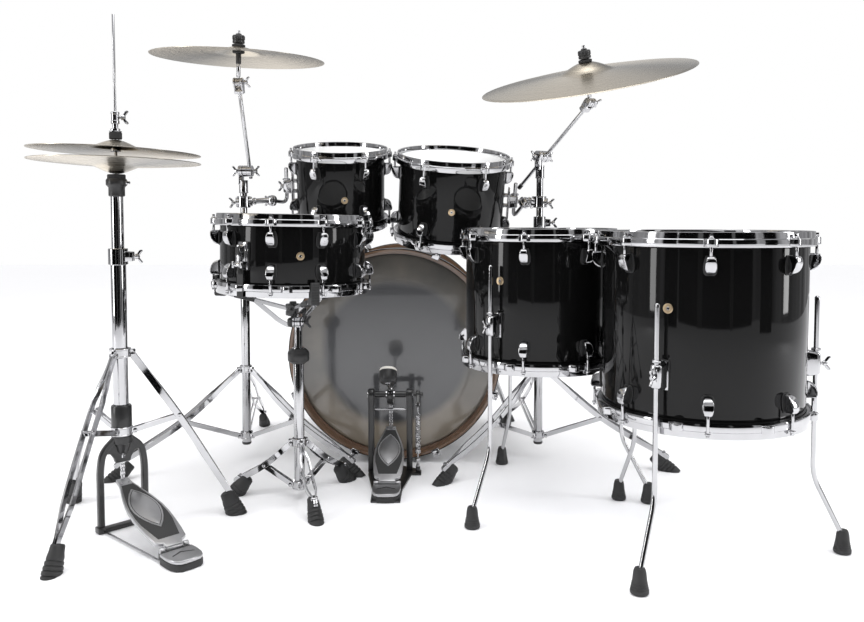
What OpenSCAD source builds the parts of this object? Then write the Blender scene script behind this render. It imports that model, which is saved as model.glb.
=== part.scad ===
// Acoustic drum kit: bass drum, two rack toms, snare drum, two floor toms,
// hi-hat, crash and ride cymbals, with their pedals and stands.
// +X is the floor tom side, -Y the player's side, +Z up, and the floor is z = 0.
// Places are measured on the floor from the bottom centre of the beater hoop.

/* [Kit] */
// Place of the beater hoop's centre line in the frame, along X
kit_x = -89; // [-200:1:200]
// Place of the beater hoop's front edge in the frame, along Y
kit_y = 132; // [-200:1:300]

/* [Bass drum] */
// Nominal diameter of the bass drum
bass_d = 559; // [500:1:580]
// Depth of the bass drum shell
bass_depth = 457; // [380:1:480]
// Height of the bass hoops above the floor
bass_lift = 8; // [6:0.5:12]
// Width of a bass hoop, along the drum
bass_hoop_w = 38; // [32:1:44]
// Tension claws on each side of the bass drum
bass_lugs_n = 8; // [6:2:10]
// Spread of the spur feet from the drum's centre line
spur_spread = 374; // [350:1:400]

/* [Rack tom 1] */
// Nominal diameter
tom_1_d = 254; // [240:1:262]
// Depth of the shell
tom_1_depth = 203; // [180:1:215]
// Centre of the top rim: to the right, to the back, above the floor
tom_1_at = [-159, 86, 893]; // [-800:1:1200]
// Tilt towards the player, in degrees
tom_1_tilt = 12; // [8:0.5:15]
// Lean to the right, in degrees
tom_1_roll = 1; // [0:0.5:2]

/* [Rack tom 2] */
// Nominal diameter
tom_2_d = 305; // [290:1:312]
// Depth of the shell
tom_2_depth = 229; // [205:1:236]
// Centre of the top rim: to the right, to the back, above the floor
tom_2_at = [166, 68, 873]; // [-800:1:1200]
// Tilt towards the player, in degrees
tom_2_tilt = 13.5; // [10:0.5:15]
// Lean to the right, in degrees
tom_2_roll = 3; // [0:0.5:4]

/* [Floor tom 1] */
// Nominal diameter
floor_tom_1_d = 356; // [340:1:368]
// Depth of the shell
floor_tom_1_depth = 305; // [280:1:330]
// Centre on the floor
floor_tom_1_at = [365, -269]; // [-800:1:1200]
// Height of the top rim
floor_tom_1_top = 664; // [650:1:700]
// Reach of the feet from the centre
floor_tom_1_foot_r = 267; // [255:1:280]

/* [Floor tom 2] */
// Nominal diameter
floor_tom_2_d = 406; // [390:1:416]
// Depth of the shell
floor_tom_2_depth = 356; // [330:1:380]
// Centre on the floor
floor_tom_2_at = [665, -561]; // [-800:1:1200]
// Height of the top rim
floor_tom_2_top = 662; // [650:1:700]
// Reach of the feet from the centre
floor_tom_2_foot_r = 287; // [275:1:300]

/* [Floor tom legs] */
// Radius of a leg rod
leg_r = 5; // [4:0.5:6]
// Height of the bend in a leg
leg_bend_z = 158; // [140:1:180]
// Length of rod standing out above its bracket
leg_top_up = 110; // [80:1:130]

/* [Snare drum] */
// Nominal diameter
snare_d = 356; // [340:1:368]
// Depth of the shell
snare_depth = 165; // [150:1:180]
// Centre of the top rim: to the right, to the back, above the floor
snare_at = [-239, -234, 698]; // [-800:1:1200]
// Lean to the right, in degrees
snare_roll = 1; // [0:0.5:2]
// Length of the snare wires
wires_len = 330; // [300:1:335]
// Width of the snare wires
wires_w = 46; // [40:1:56]

/* [Snare stand] */
// Centre of the tripod on the floor
snare_stand_at = [-222, -284]; // [-800:1:1200]
// Reach of the feet
snare_foot_r = 168; // [160:1:190]
// Height of the upper leg collar
snare_collar_z = 140; // [120:1:170]
// Top of the base tube, with its knob
snare_lock_z = 372; // [340:1:390]

/* [Left cymbal stand] */
// Centre of the tripod on the floor
left_stand_at = [-430, 50]; // [-800:1:1200]
// Reach of the feet
left_foot_r = 364; // [350:1:380]
// Height of the boom pivot
left_pivot_z = 822; // [810:1:840]
// Centre of the crash cymbal's edge circle
crash_at = [-415, -52, 1116]; // [-800:1:1200]
// Diameter of the crash cymbal
crash_d = 457; // [430:1:480]
// Tilt of the crash towards the player, in degrees
crash_tilt = 4.4; // [2:0.1:7]
// Lean of the crash to the right, in degrees
crash_roll = 2.2; // [0:0.1:4]

/* [Right cymbal stand] */
// Centre of the tripod on the floor
right_stand_at = [410, 54]; // [-800:1:1200]
// Reach of the feet
right_foot_r = 364; // [350:1:380]
// Height of the boom pivot
right_pivot_z = 864; // [850:1:880]
// Centre of the ride cymbal's edge circle
ride_at = [511, -104, 1053]; // [-800:1:1200]
// Diameter of the ride cymbal
ride_d = 558; // [508:1:570]
// Tilt of the ride towards the player, in degrees
ride_tilt = 15; // [12:0.1:18]
// Lean of the ride to the right, in degrees
ride_roll = -10.7; // [-14:0.1:-8]

/* [Stand tubes] */
// Radius of a base tube
base_tube_r = 12.7; // [12:0.1:14]
// Radius of an upper tube
post_r = 9.5; // [9:0.1:10.5]
// Radius of a boom rod
boom_r = 5; // [4.5:0.1:6]
// Height of the upper leg collars
collar_z = 258; // [240:1:280]
// Height of the lower leg collars
low_collar_z = 66; // [60:1:80]
// Top of the base tubes, with their height locks
lock_z = 694; // [660:1:700]
// Height of the tom clamps on the upper tubes
clamp_z = 735; // [730:1:745]

/* [Hi-hat] */
// Centre of the tripod on the floor
hihat_at = [-584, -468]; // [-800:1:1200]
// Reach of the feet
hihat_foot_r = 245; // [235:1:260]
// Height of the upper leg collar
hihat_collar_z = 392; // [370:1:410]
// Radius of the lower tube
hihat_tube_r = 16; // [15:0.5:17]
// Radius of the upper tube
hihat_post_r = 13; // [12:0.5:14]
// Top of the lower tube, with its height lock
hihat_lock_z = 622; // [600:1:640]
// Height of the bottom cymbal's edge
hihat_z = 810; // [790:1:830]
// Opening between the two cymbals' edges, at the middle
hihat_gap = 22; // [18:0.5:26]
// Lean of the bottom cymbal to the right, in degrees
hihat_bottom_roll = 1; // [0:0.1:1.5]
// Lean of the top cymbal to the right, in degrees
hihat_top_roll = 2.2; // [0:0.1:3]
// Diameter of the hi-hat cymbals
hihat_d = 356; // [330:1:366]
// Height of the pull rod's top end
hihat_rod_z = 1128; // [1080:1:1160]
// Direction of the footboard on the floor, in degrees
hihat_pedal_turn = -45; // [-50:1:-40]

/* [Bass pedal] */
// Place of the pedal to the left of the bass drum's centre line
kick_x = -9; // [-14:1:0]
// Distance of the axle in front of the hoop
kick_axle_y = 74; // [70:1:80]
// Height of the axle
kick_axle_z = 211; // [200:1:220]
// Length from the axle to the middle of the beater head
beater_len = 135; // [120:1:172]
// Lean of the beater towards the player at rest, in degrees
beater_lean = 57; // [45:1:62]
// Radius of the round beater head
beater_r = 25; // [20:0.5:27]
// Radius of the chain cam
cam_r = 30; // [26:0.5:32]

/* [Drum fittings] */
// Thickness of the drum shells
shell_wall = 6; // [5:0.5:8]
// Height of a cast rim above the bearing edge
rim_up = 13; // [11:0.5:14]
// Depth of a cast rim below the bearing edge
rim_down = 16; // [15:0.5:18]
// Height of a lug body
lug_h = 36; // [32:1:38]
// Radius of a lug body
lug_r = 9; // [8:0.5:9.5]
// Distance of the tension rods from the shell
rod_out = 15; // [14.5:0.5:16]
// Radius of a tension rod
rod_r = 3; // [2.5:0.1:3.5]
// Distance from the bearing edge to the middle of a lug
lug_drop = 49; // [48:1:52]

/* [Clearances] */
// Gap between pieces that are seated on each other
seat = 0.2; // [0.1:0.05:0.4]
// Radial gap between a rod or tube and its hole
running = 0.08; // [0.03:0.01:0.09]

/* [Hidden] */
$fn = 48;

// ---- Shared shapes ----

// Radius of the outside of a shell
function shell_r(d) = d / 2 - 1;
// Turns a point by a tilt about X, then a lean about Y
function tilted(p, tilt) = [p[0], p[1] * cos(tilt) - p[2] * sin(tilt), p[1] * sin(tilt) + p[2] * cos(tilt)];
function leaned(p, roll) = [p[0] * cos(roll) + p[2] * sin(roll), p[1], -p[0] * sin(roll) + p[2] * cos(roll)];
function turned(p, tilt, roll) = leaned(tilted(p, tilt), roll);
// A point at an angle and a distance, on the floor
function polar(a, r) = [r * cos(a), r * sin(a)];
function lifted(p, z) = [p[0], p[1], z];

module placed(p) translate([kit_x + p[0], kit_y + p[1], len(p) > 2 ? p[2] : 0]) children();

// Children stand at a with their Z axis pointing to b
module aimed(a, b) {
    v = b - a;
    translate(a) rotate([0, acos(v[2] / norm(v)), atan2(v[1], v[0])]) children();
}
module rod(a, b, r) aimed(a, b) cylinder(r = r, h = norm(b - a));
// Flat bar from a to b: w across the level direction, t thick
module bar(a, b, w, t) aimed(a, b) translate([-t / 2, -w / 2, 0]) cube([t, w, norm(b - a)]);
module tube(r_out, r_in, h) difference() {
    cylinder(r = r_out, h = h);
    translate([0, 0, -1]) cylinder(r = r_in, h = h + 2);
}
module ring(n, first, r) for (i = [0 : n - 1]) rotate(first + i * 360 / n) translate([r, 0, 0]) children();

// Wing bolt along +Z from its seat
wing_w = 30;
module wing_bolt(shank = 10) {
    cylinder(r = 3.5, h = shank + 2);
    translate([0, 0, shank]) cylinder(r = 6, h = 6);
    translate([-wing_w / 2, -2, shank + 2]) cube([wing_w, 4, 8]);
    for (s = [-1, 1]) translate([s * wing_w / 2, 0, shank + 9]) rotate([90, 0, 0]) cylinder(r = 6, h = 4, center = true);
}

// ---- Drum parts, each about the middle of its shell, with the shell along Z ----

module shell(d, depth) {
    r = shell_r(d);
    e = depth / 2;
    edge = 3;
    rotate_extrude() polygon([[r - shell_wall, -e + edge], [r - edge, -e], [r - 1, -e], [r, -e + 1],
        [r, e - 1], [r - 1, e], [r - edge, e], [r - shell_wall, e - edge]]);
}

head_gap = 0.8;
film = 0.5;
flesh_w = 6.2;
flesh_h = 8;
flesh_drop = 6;
// Head: film over the bearing edge, with its flesh hoop around the shell
module head(d, depth) {
    r = shell_r(d);
    e = depth / 2;
    top = e + seat + film;
    rotate_extrude() polygon([[0, e + seat], [r + head_gap, e + seat], [r + head_gap, e - flesh_drop - flesh_h],
        [r + head_gap + flesh_w, e - flesh_drop - flesh_h], [r + head_gap + flesh_w, e - flesh_drop],
        [r + head_gap + 1, e - flesh_drop], [r + head_gap + 1, top], [0, top]]);
}
module both_ends() { children(); mirror([0, 0, 1]) children(); }
module heads(d, depth) both_ends() head(d, depth);

// Cast rim with an ear for each tension rod
rim_out = 12;
ear_r = 8.5;
ear_up = 0.6;
module rim(d, depth, n, first) {
    r = shell_r(d);
    e = depth / 2;
    in_low = r + head_gap + flesh_w + 0.3;
    difference() {
        union() {
            rotate_extrude() polygon([[r + 4, e - flesh_drop + seat], [r + 4, e + rim_up - 1], [r + 5, e + rim_up],
                [r + 8.2, e + rim_up], [r + 9, e + rim_up - 1], [r + 9, e], [r + 11, e - 1],
                [r + rim_out, e - 2], [r + rim_out, e - rim_down + 1], [r + rim_out - 1, e - rim_down],
                [in_low, e - rim_down], [in_low, e - flesh_drop + seat]]);
            difference() {
                ring(n, first, r + rod_out) translate([0, 0, e - rim_down + 1.5])
                    cylinder(r = ear_r, h = rim_down - 1.5 + ear_up);
                translate([0, 0, e - rim_down]) cylinder(r = r + 8.6, h = rim_down + 2);
            }
        }
        ring(n, first, r + rod_out) translate([0, 0, e - rim_down - 1]) cylinder(r = rod_r + 0.3, h = rim_down + 2);
    }
}
module rims(d, depth, n, first) both_ends() rim(d, depth, n, first);

// One lug with its tension rod, at the shell's angle 0
module lug(d, depth, drop) {
    r = shell_r(d);
    z = depth / 2 - drop;
    straight = lug_h / 2 - lug_r;
    difference() {
        union() {
            translate([r + rod_out, 0, z - straight]) cylinder(r = lug_r, h = 2 * straight);
            for (s = [-1, 1]) translate([r + rod_out, 0, z + s * straight]) sphere(r = lug_r);
            translate([r + seat, -lug_r + 1, z - lug_h / 2 + 2]) cube([rod_out - seat, 2 * lug_r - 2, lug_h - 4]);
        }
        translate([r + rod_out, 0, z - 6]) cylinder(r = rod_r + running, h = lug_h);
    }
    translate([r + rod_out, 0, z - 4]) cylinder(r = rod_r, h = drop + 6);
    translate([r + rod_out, 0, depth / 2 + ear_up + seat]) cylinder(r = 5.5, h = 1.6);
    translate([r + rod_out, 0, depth / 2 + ear_up + seat]) cylinder(r = 4.2, h = 9);
}
module lugs(d, depth, n, first, drop = lug_drop) both_ends() ring(n, first, 0) lug(d, depth, drop);

// Round badge with the shell's vent in its middle
module badge(d, a, z) rotate(a) translate([shell_r(d) + seat, 0, z]) rotate([0, 90, 0]) tube(9.5, 2, 1.6);

// ---- Bass drum: its own axis Z points at the player, Y up ----

bass_r = shell_r(bass_d);
hoop_t = 16.2;
hoop_r = bass_r + 3.8 + hoop_t;
bass_z = bass_lift + hoop_r;
bass_e = bass_depth / 2;
hoop_back = bass_e - flesh_drop + seat;
hoop_front = hoop_back + bass_hoop_w;
bass_first = 22.5;
claw_rod_r = 3.5;
claw_out = 8;
claw_h = 14;
claw_w = 22;
bass_lug_drop = 65;
module in_bass() placed([0, hoop_front, bass_z]) rotate([90, 0, 0]) children();

module bass_shell() color("#141416") in_bass() shell(bass_d, bass_depth);
module bass_heads() color("#55565a") in_bass() heads(bass_d, bass_depth);
module bass_hoops() color("#8a5a36") in_bass() both_ends() translate([0, 0, hoop_back])
    tube(hoop_r, hoop_r - hoop_t, bass_hoop_w);

// Claw over the hoop, its rod and the lug that takes the rod
module claw() {
    r = hoop_r + claw_out;
    z = bass_e - bass_lug_drop;
    difference() {
        union() {
            translate([hoop_r + seat, -claw_w / 2, bass_e - 12]) cube([claw_h, claw_w, hoop_front - bass_e + 17]);
            translate([hoop_r - 9, -claw_w / 2, hoop_front + seat]) cube([12, claw_w, 5 - seat]);
        }
        translate([r, 0, bass_e - 13]) cylinder(r = claw_rod_r + 0.3, h = hoop_front - bass_e + 20);
    }
    translate([r, 0, z - 4]) cylinder(r = claw_rod_r, h = hoop_front + 5 + seat - z + 8);
    translate([r, 0, hoop_front + 5 + seat]) cylinder(r = 6, h = 9);
    difference() {
        union() {
            translate([r, 0, z - 14]) cylinder(r = 11, h = 28);
            for (s = [-14, 14]) translate([r, 0, z + s]) sphere(r = 11);
            translate([bass_r + seat, -8, z - 20]) cube([r - bass_r - seat, 16, 40]);
        }
        translate([r, 0, z - 6]) cylinder(r = claw_rod_r + running, h = 40);
    }
}

// Spurs: pivots on the lower sides of the shell, near the front
spur_y = 2 * hoop_front - 160.4;
spur_angle = 20;
spur_foot_y = 2 * hoop_front - 58.4;
spur_out = 40;
function spur_pivot(s) = let (r = bass_r + spur_out)
    [s * r * cos(spur_angle), spur_y, bass_z - r * sin(spur_angle)];
function spur_foot(s) = [s * spur_spread, spur_foot_y, 0];
spur_disc = 16;
module at_spur(s) placed([0, spur_y, bass_z]) rotate([0, s > 0 ? spur_angle : 180 - spur_angle, 0])
    rotate([0, 90, 0]) translate([0, 0, bass_r]) children();
module bass_lugs() color("silver") {
    in_bass() both_ends() ring(bass_lugs_n, bass_first, 0) claw();
    for (s = [-1, 1]) at_spur(s) translate([0, 0, seat]) cylinder(r = 20, h = spur_out - 12 - seat);
}
module spur(s) {
    p = spur_pivot(s);
    f = spur_foot(s);
    d = (f - p) / norm(f - p);
    placed([0, 0, 0]) difference() {
        union() {
            rod(p, f - d * 26, 8);
            rod(f - d * 34, f - d * 12, 11);
            rod(f - d * 34, f, 11);
        }
        translate([-500, 0, -50]) cube([1000, 900, 50]);
    }
    at_spur(s) translate([0, 0, spur_out - 11.7]) cylinder(r = spur_disc, h = 23);
}
module bass_spur_left() color("silver") spur(-1);
module bass_spur_right() color("silver") spur(1);

// ---- Bass pedal, about the middle of its axle line on the floor ----

module in_kick() placed([kick_x, -kick_axle_y, 0]) children();
plate_h = 6;
kick_heel_y = -166;
kick_heel_z = 22;
kick_axle_r = 5;
post_x = 52;
post_w = 12;
toe_y = cam_r + 2.8;
toe_z = 108;
spring_x = 75;
spring_y = -22;
spring_z = 190;
board_t = 8;
chain_w = 10;
chain_t = 5;
jaw_z = bass_z - sqrt(pow(hoop_r - hoop_t, 2) - pow(abs(kick_x) + 17, 2)) + 0.4;

module kick_frame() color("#1c1c1e") in_kick() {
    front = kick_axle_y;
    linear_extrude(plate_h) polygon([[-36, kick_heel_y - 86], [36, kick_heel_y - 86], [38, kick_heel_y],
        [post_x + 6, -40], [spring_x + 9, -40], [spring_x + 9, -8], [post_x + 6, 14], [30, 30], [26, front + 34],
        [-26, front + 34], [-30, 30], [-post_x - 6, 14], [-post_x - 6, -40], [-38, kick_heel_y]]);
    // pad under the hoop, and the jaw with its screw on top of it
    translate([-18, front + 3, 0]) cube([36, 30, bass_lift - seat]);
    translate([-16, front - 26, jaw_z]) cube([32, 50, 7]);
    translate([0, front - 14, 0]) cylinder(r = 5, h = jaw_z + 10);
    translate([0, front - 14, jaw_z + 6]) wing_bolt(6);
    // posts with the axle bearings
    difference() {
        for (s = [-1, 1]) {
            translate([s * post_x - post_w / 2, -13, 0]) cube([post_w, 26, kick_axle_z]);
            translate([s * post_x - post_w / 2, 0, kick_axle_z]) rotate([0, 90, 0]) cylinder(r = 15, h = post_w);
        }
        translate([-post_x - 10, 0, kick_axle_z]) rotate([0, 90, 0])
            cylinder(r = kick_axle_r + running, h = 2 * post_x + 20);
    }
    // heel plate with the knuckles and pin of the footboard hinge
    difference() {
        translate([-35, kick_heel_y - 84, 0]) cube([70, 76, kick_heel_z + 5]);
        translate([-40, kick_heel_y - 84, kick_heel_z + 5]) rotate([6, 0, 0]) cube([80, 50, 20]);
    }
    for (s = [-1, 1]) translate([s * 28 - 6, kick_heel_y, kick_heel_z]) rotate([0, 90, 0]) cylinder(r = 6, h = 12);
    for (s = [-1, 1]) translate([s * 28 - 6, kick_heel_y - 10, 0]) cube([12, 14, kick_heel_z]);
    translate([-28, kick_heel_y, kick_heel_z]) rotate([0, 90, 0]) cylinder(r = 3, h = 56);
    // anchor of the return spring
    translate([spring_x - 6, spring_y - 6, 0]) cube([12, 12, 26]);
}
module kick_footboard() color("#b9bbbe") in_kick() {
    run = toe_y - kick_heel_y;
    rise = toe_z - kick_heel_z;
    tip = norm([run, rise]);
    slope = atan2(rise, run);
    difference() {
        union() {
            translate([-21.6, kick_heel_y, kick_heel_z]) rotate([0, 90, 0]) cylinder(r = 6, h = 43.2);
            translate([0, kick_heel_y, kick_heel_z]) rotate([slope, 0, 0]) translate([0, 0, 1]) linear_extrude(board_t)
                polygon([[-21.6, -3], [21.6, -3], [21.6, 9], [33, 16], [40, tip * 0.45], [31, tip * 0.7], [17, tip * 0.9],
                    [14, tip], [-14, tip], [-17, tip * 0.9], [-31, tip * 0.7], [-40, tip * 0.45], [-33, 16], [-21.6, 9]]);
        }
        translate([-30, kick_heel_y, kick_heel_z]) rotate([0, 90, 0]) cylinder(r = 3 + running, h = 60);
    }
    // drive chain, from the toe up to the cam
    translate([-chain_w / 2, cam_r + 0.4, toe_z - 1]) cube([chain_w, chain_t, kick_axle_z - toe_z]);
}
module kick_beater() color("silver") in_kick() translate([0, 0, kick_axle_z]) {
    rotate([0, 90, 0]) translate([0, 0, -post_x - 8]) cylinder(r = kick_axle_r, h = post_x + spring_x + 14);
    rotate([0, 90, 0]) translate([0, 0, -8]) cylinder(r = cam_r, h = 16);
    rotate([beater_lean, 0, 0]) {
        cylinder(r = 4, h = beater_len);
        translate([0, 0, beater_len]) sphere(r = beater_r);
    }
    // rocker that holds the spring
    translate([spring_x - 5, spring_y, -kick_axle_z + spring_z]) rotate([0, 90, 0]) cylinder(r = 7, h = 10);
    translate([spring_x - 5, 0, 0]) rotate([0, 90, 0]) cylinder(r = 10, h = 10);
    translate([spring_x, 0, 0]) bar([0, 0, 0], [0, spring_y, spring_z - kick_axle_z], 8, 9);
}
module kick_spring() color("silver") in_kick() translate([spring_x, spring_y, 0]) {
    translate([0, 0, 26 + seat]) cylinder(r = 2, h = spring_z - 7 - 26 - 2 * seat);
    translate([0, 0, 60]) cylinder(r = 7, h = 100);
}

// ---- Snare drum ----

snare_first = -95.5;
snare_lug_drop = 46;
strainer_a = -119;
strainer_w = 30;
lever_z = -22;
module in_snare() placed(snare_at) rotate([0, snare_roll, 0])
    translate([0, 0, -rim_up - snare_depth / 2]) children();
module snare_shell() color("#141416") in_snare() shell(snare_d, snare_depth);
module snare_heads() color("#e8e8e6") in_snare() heads(snare_d, snare_depth);
module snare_hoops() color("silver") in_snare() rims(snare_d, snare_depth, 10, snare_first);
module at_strainer() in_snare() rotate(strainer_a) translate([shell_r(snare_d), 0, 0]) children();
module snare_lugs() color("silver") {
    in_snare() lugs(snare_d, snare_depth, 10, snare_first, snare_lug_drop);
    in_snare() badge(snare_d, -75, 0);
    // strainer body with its lever's pin
    at_strainer() {
        translate([seat, -strainer_w / 2, -34]) cube([12 - seat, strainer_w, 64]);
        for (s = [-1, 1]) translate([11, s * 12 - 3, lever_z - 8]) cube([15, 6, 16]);
        translate([20, -12, lever_z]) rotate([-90, 0, 0]) cylinder(r = 2.5, h = 24);
    }
    // butt plate across from it
    in_snare() rotate(strainer_a + 180) translate([shell_r(snare_d) + seat, -14, -52]) cube([10 - seat, 28, 44]);
}
module snare_lever() color("silver") at_strainer() translate([20, 0, lever_z]) difference() {
    union() {
        rotate([-90, 0, 0]) translate([0, 0, -8.7]) cylinder(r = 5.5, h = 17.4);
        translate([-3, -6, 0]) cube([6, 12, 46]);
    }
    rotate([-90, 0, 0]) translate([0, 0, -20]) cylinder(r = 2.5 + running, h = 40);
}
wires_z = snare_depth / 2 + seat + film + 0.3;
module snare_wires() color("#c9c9c9") in_snare() rotate(strainer_a)
    translate([-wires_len / 2, -wires_w / 2, -wires_z - 2]) cube([wires_len, wires_w, 2]);

// ---- Rack toms, with the ball-jointed rods that carry them ----

bracket_out = 32;
bracket_z = -2;
rod_up = 50;
rod_bend = 50;
arm_r = 5.5;
ball_r = 11;
ring_w = 8;
socket_back = 14;
tom_1_first = 5.5;
tom_2_first = 1;
tom_1_ball = [-354, 76, 739];
tom_2_ball = [369, 71, 731];
function tom_middle(at, depth, tilt, roll) = at - turned([0, 0, rim_up + depth / 2], tilt, roll);
tom_1_mid = tom_middle(tom_1_at, tom_1_depth, tom_1_tilt, tom_1_roll);
tom_2_mid = tom_middle(tom_2_at, tom_2_depth, tom_2_tilt, tom_2_roll);
// A height on the rod's straight part, on the side s of the drum
function on_rod(mid, d, tilt, roll, s, z) = mid + turned([s * (shell_r(d) + bracket_out), 0, z], tilt, roll);
tom_1_top = on_rod(tom_1_mid, tom_1_d, tom_1_tilt, tom_1_roll, -1, rod_up);
tom_1_elbow = on_rod(tom_1_mid, tom_1_d, tom_1_tilt, tom_1_roll, -1, -rod_bend);
tom_2_top = on_rod(tom_2_mid, tom_2_d, tom_2_tilt, tom_2_roll, 1, rod_up);
tom_2_elbow = on_rod(tom_2_mid, tom_2_d, tom_2_tilt, tom_2_roll, 1, -rod_bend);

module in_tom_1() placed(tom_1_mid) rotate([0, tom_1_roll, 0]) rotate([tom_1_tilt, 0, 0]) children();
module in_tom_2() placed(tom_2_mid) rotate([0, tom_2_roll, 0]) rotate([tom_2_tilt, 0, 0]) children();
// Bracket with a clamp block around the rod, standing off the shell between the lugs
module tom_bracket(d) {
    r = shell_r(d);
    difference() {
        union() {
            for (s = [-1, 1]) translate([r + seat, 0, s * 15]) rotate([0, 90, 0]) cylinder(r = 6, h = 13);
            translate([r + 12, -17, -56]) cube([4, 34, 94]);
            translate([r + 15, -13, bracket_z - 20]) cube([bracket_out - 6, 26, 40]);
            translate([r + bracket_out + 7, 0, bracket_z]) rotate([0, 90, 0]) wing_bolt(3);
        }
        translate([r + bracket_out, 0, -70]) cylinder(r = arm_r + running, h = 140);
    }
}
// Bent rod from the top of the bracket down to its ball
module tom_rod(top, elbow, ball) placed([0, 0, 0]) {
    rod(elbow, top, arm_r);
    translate(elbow) sphere(r = arm_r + 0.3);
    rod(ball, elbow, arm_r);
    aimed(ball, elbow) sphere(r = ball_r);
}
module tom_1_shell() color("#141416") in_tom_1() shell(tom_1_d, tom_1_depth);
module tom_1_heads() color("#e8e8e6") in_tom_1() heads(tom_1_d, tom_1_depth);
module tom_1_hoops() color("silver") in_tom_1() rims(tom_1_d, tom_1_depth, 6, tom_1_first);
module tom_1_lugs() color("silver") in_tom_1() {
    lugs(tom_1_d, tom_1_depth, 6, tom_1_first);
    rotate(180) tom_bracket(tom_1_d);
    badge(tom_1_d, -79, -18);
}
module tom_1_rod() color("silver") tom_rod(tom_1_top, tom_1_elbow, tom_1_ball);
module tom_2_shell() color("#141416") in_tom_2() shell(tom_2_d, tom_2_depth);
module tom_2_heads() color("#e8e8e6") in_tom_2() heads(tom_2_d, tom_2_depth);
module tom_2_hoops() color("silver") in_tom_2() rims(tom_2_d, tom_2_depth, 6, tom_2_first);
module tom_2_lugs() color("silver") in_tom_2() {
    lugs(tom_2_d, tom_2_depth, 6, tom_2_first);
    tom_bracket(tom_2_d);
    badge(tom_2_d, -90, -10);
}
module tom_2_rod() color("silver") tom_rod(tom_2_top, tom_2_elbow, tom_2_ball);

// ---- Floor toms ----

floor_tom_1_first = -107.5;
floor_tom_2_first = -105;
floor_tom_1_legs = [-130, -10, 104];
floor_tom_2_legs = [-129, -9, 111];
leg_out = 24;
leg_block_h = 56;
foot_r = 14;
foot_h = 42;
// Middle of the leg brackets below the middle of the shell
function leg_block_z(depth) = -depth / 2 + lug_drop + lug_h / 2 + 4 + leg_block_h / 2;
function floor_mid(top, depth) = top - rim_up - depth / 2;
module in_floor_tom_1() placed(lifted(floor_tom_1_at, floor_mid(floor_tom_1_top, floor_tom_1_depth))) children();
module in_floor_tom_2() placed(lifted(floor_tom_2_at, floor_mid(floor_tom_2_top, floor_tom_2_depth))) children();
module leg_block(d, depth) {
    r = shell_r(d);
    z = leg_block_z(depth);
    difference() {
        union() {
            translate([r + seat, -15, z - leg_block_h / 2]) cube([leg_out + 8 - seat, 30, leg_block_h]);
            translate([r + leg_out + 7, 0, z]) rotate([0, 90, 0]) wing_bolt(7);
        }
        translate([r + leg_out, 0, z - 50]) cylinder(r = leg_r + running, h = 100);
    }
}
module rubber_foot() rotate_extrude() polygon([[0, 0], [foot_r, 0], [foot_r + 1, 3], [foot_r + 1, 9],
    [foot_r - 1, 12], [foot_r - 3, foot_h - 6], [foot_r - 6, foot_h], [0, foot_h]]);
// Leg at angle a: straight through its bracket, bent outwards below the shell
module floor_leg(d, depth, top, foot_reach, a) {
    r = shell_r(d) + leg_out;
    rod_top_z = floor_mid(top, depth) + leg_block_z(depth) + leg_block_h / 2 + leg_top_up;
    rotate(a) {
        rod([r, 0, leg_bend_z], [r, 0, rod_top_z], leg_r);
        translate([r, 0, leg_bend_z]) sphere(r = leg_r + 0.3);
        rod([r, 0, leg_bend_z], [foot_reach, 0, foot_h - 6], leg_r);
        translate([foot_reach, 0, 0]) rubber_foot();
    }
}
module floor_tom_1_shell() color("#141416") in_floor_tom_1() shell(floor_tom_1_d, floor_tom_1_depth);
module floor_tom_1_heads() color("#e8e8e6") in_floor_tom_1() heads(floor_tom_1_d, floor_tom_1_depth);
module floor_tom_1_hoops() color("silver") in_floor_tom_1()
    rims(floor_tom_1_d, floor_tom_1_depth, 8, floor_tom_1_first);
module floor_tom_1_lugs() color("silver") in_floor_tom_1() {
    lugs(floor_tom_1_d, floor_tom_1_depth, 8, floor_tom_1_first);
    for (a = floor_tom_1_legs) rotate(a) leg_block(floor_tom_1_d, floor_tom_1_depth);
    badge(floor_tom_1_d, -130 + 3, 47);
}
module floor_tom_1_leg(i) color("silver") placed(floor_tom_1_at)
    floor_leg(floor_tom_1_d, floor_tom_1_depth, floor_tom_1_top, floor_tom_1_foot_r, floor_tom_1_legs[i]);
module floor_tom_2_shell() color("#141416") in_floor_tom_2() shell(floor_tom_2_d, floor_tom_2_depth);
module floor_tom_2_heads() color("#e8e8e6") in_floor_tom_2() heads(floor_tom_2_d, floor_tom_2_depth);
module floor_tom_2_hoops() color("silver") in_floor_tom_2()
    rims(floor_tom_2_d, floor_tom_2_depth, 8, floor_tom_2_first);
module floor_tom_2_lugs() color("silver") in_floor_tom_2() {
    lugs(floor_tom_2_d, floor_tom_2_depth, 8, floor_tom_2_first);
    for (a = floor_tom_2_legs) rotate(a) leg_block(floor_tom_2_d, floor_tom_2_depth);
    badge(floor_tom_2_d, -129 + 3, 47);
}
module floor_tom_2_leg(i) color("silver") placed(floor_tom_2_at)
    floor_leg(floor_tom_2_d, floor_tom_2_depth, floor_tom_2_top, floor_tom_2_foot_r, floor_tom_2_legs[i]);

// ---- Tripods, about the foot of their tube ----

leg_w = 13;
leg_t = 3;
leg_gap = 8;
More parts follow.
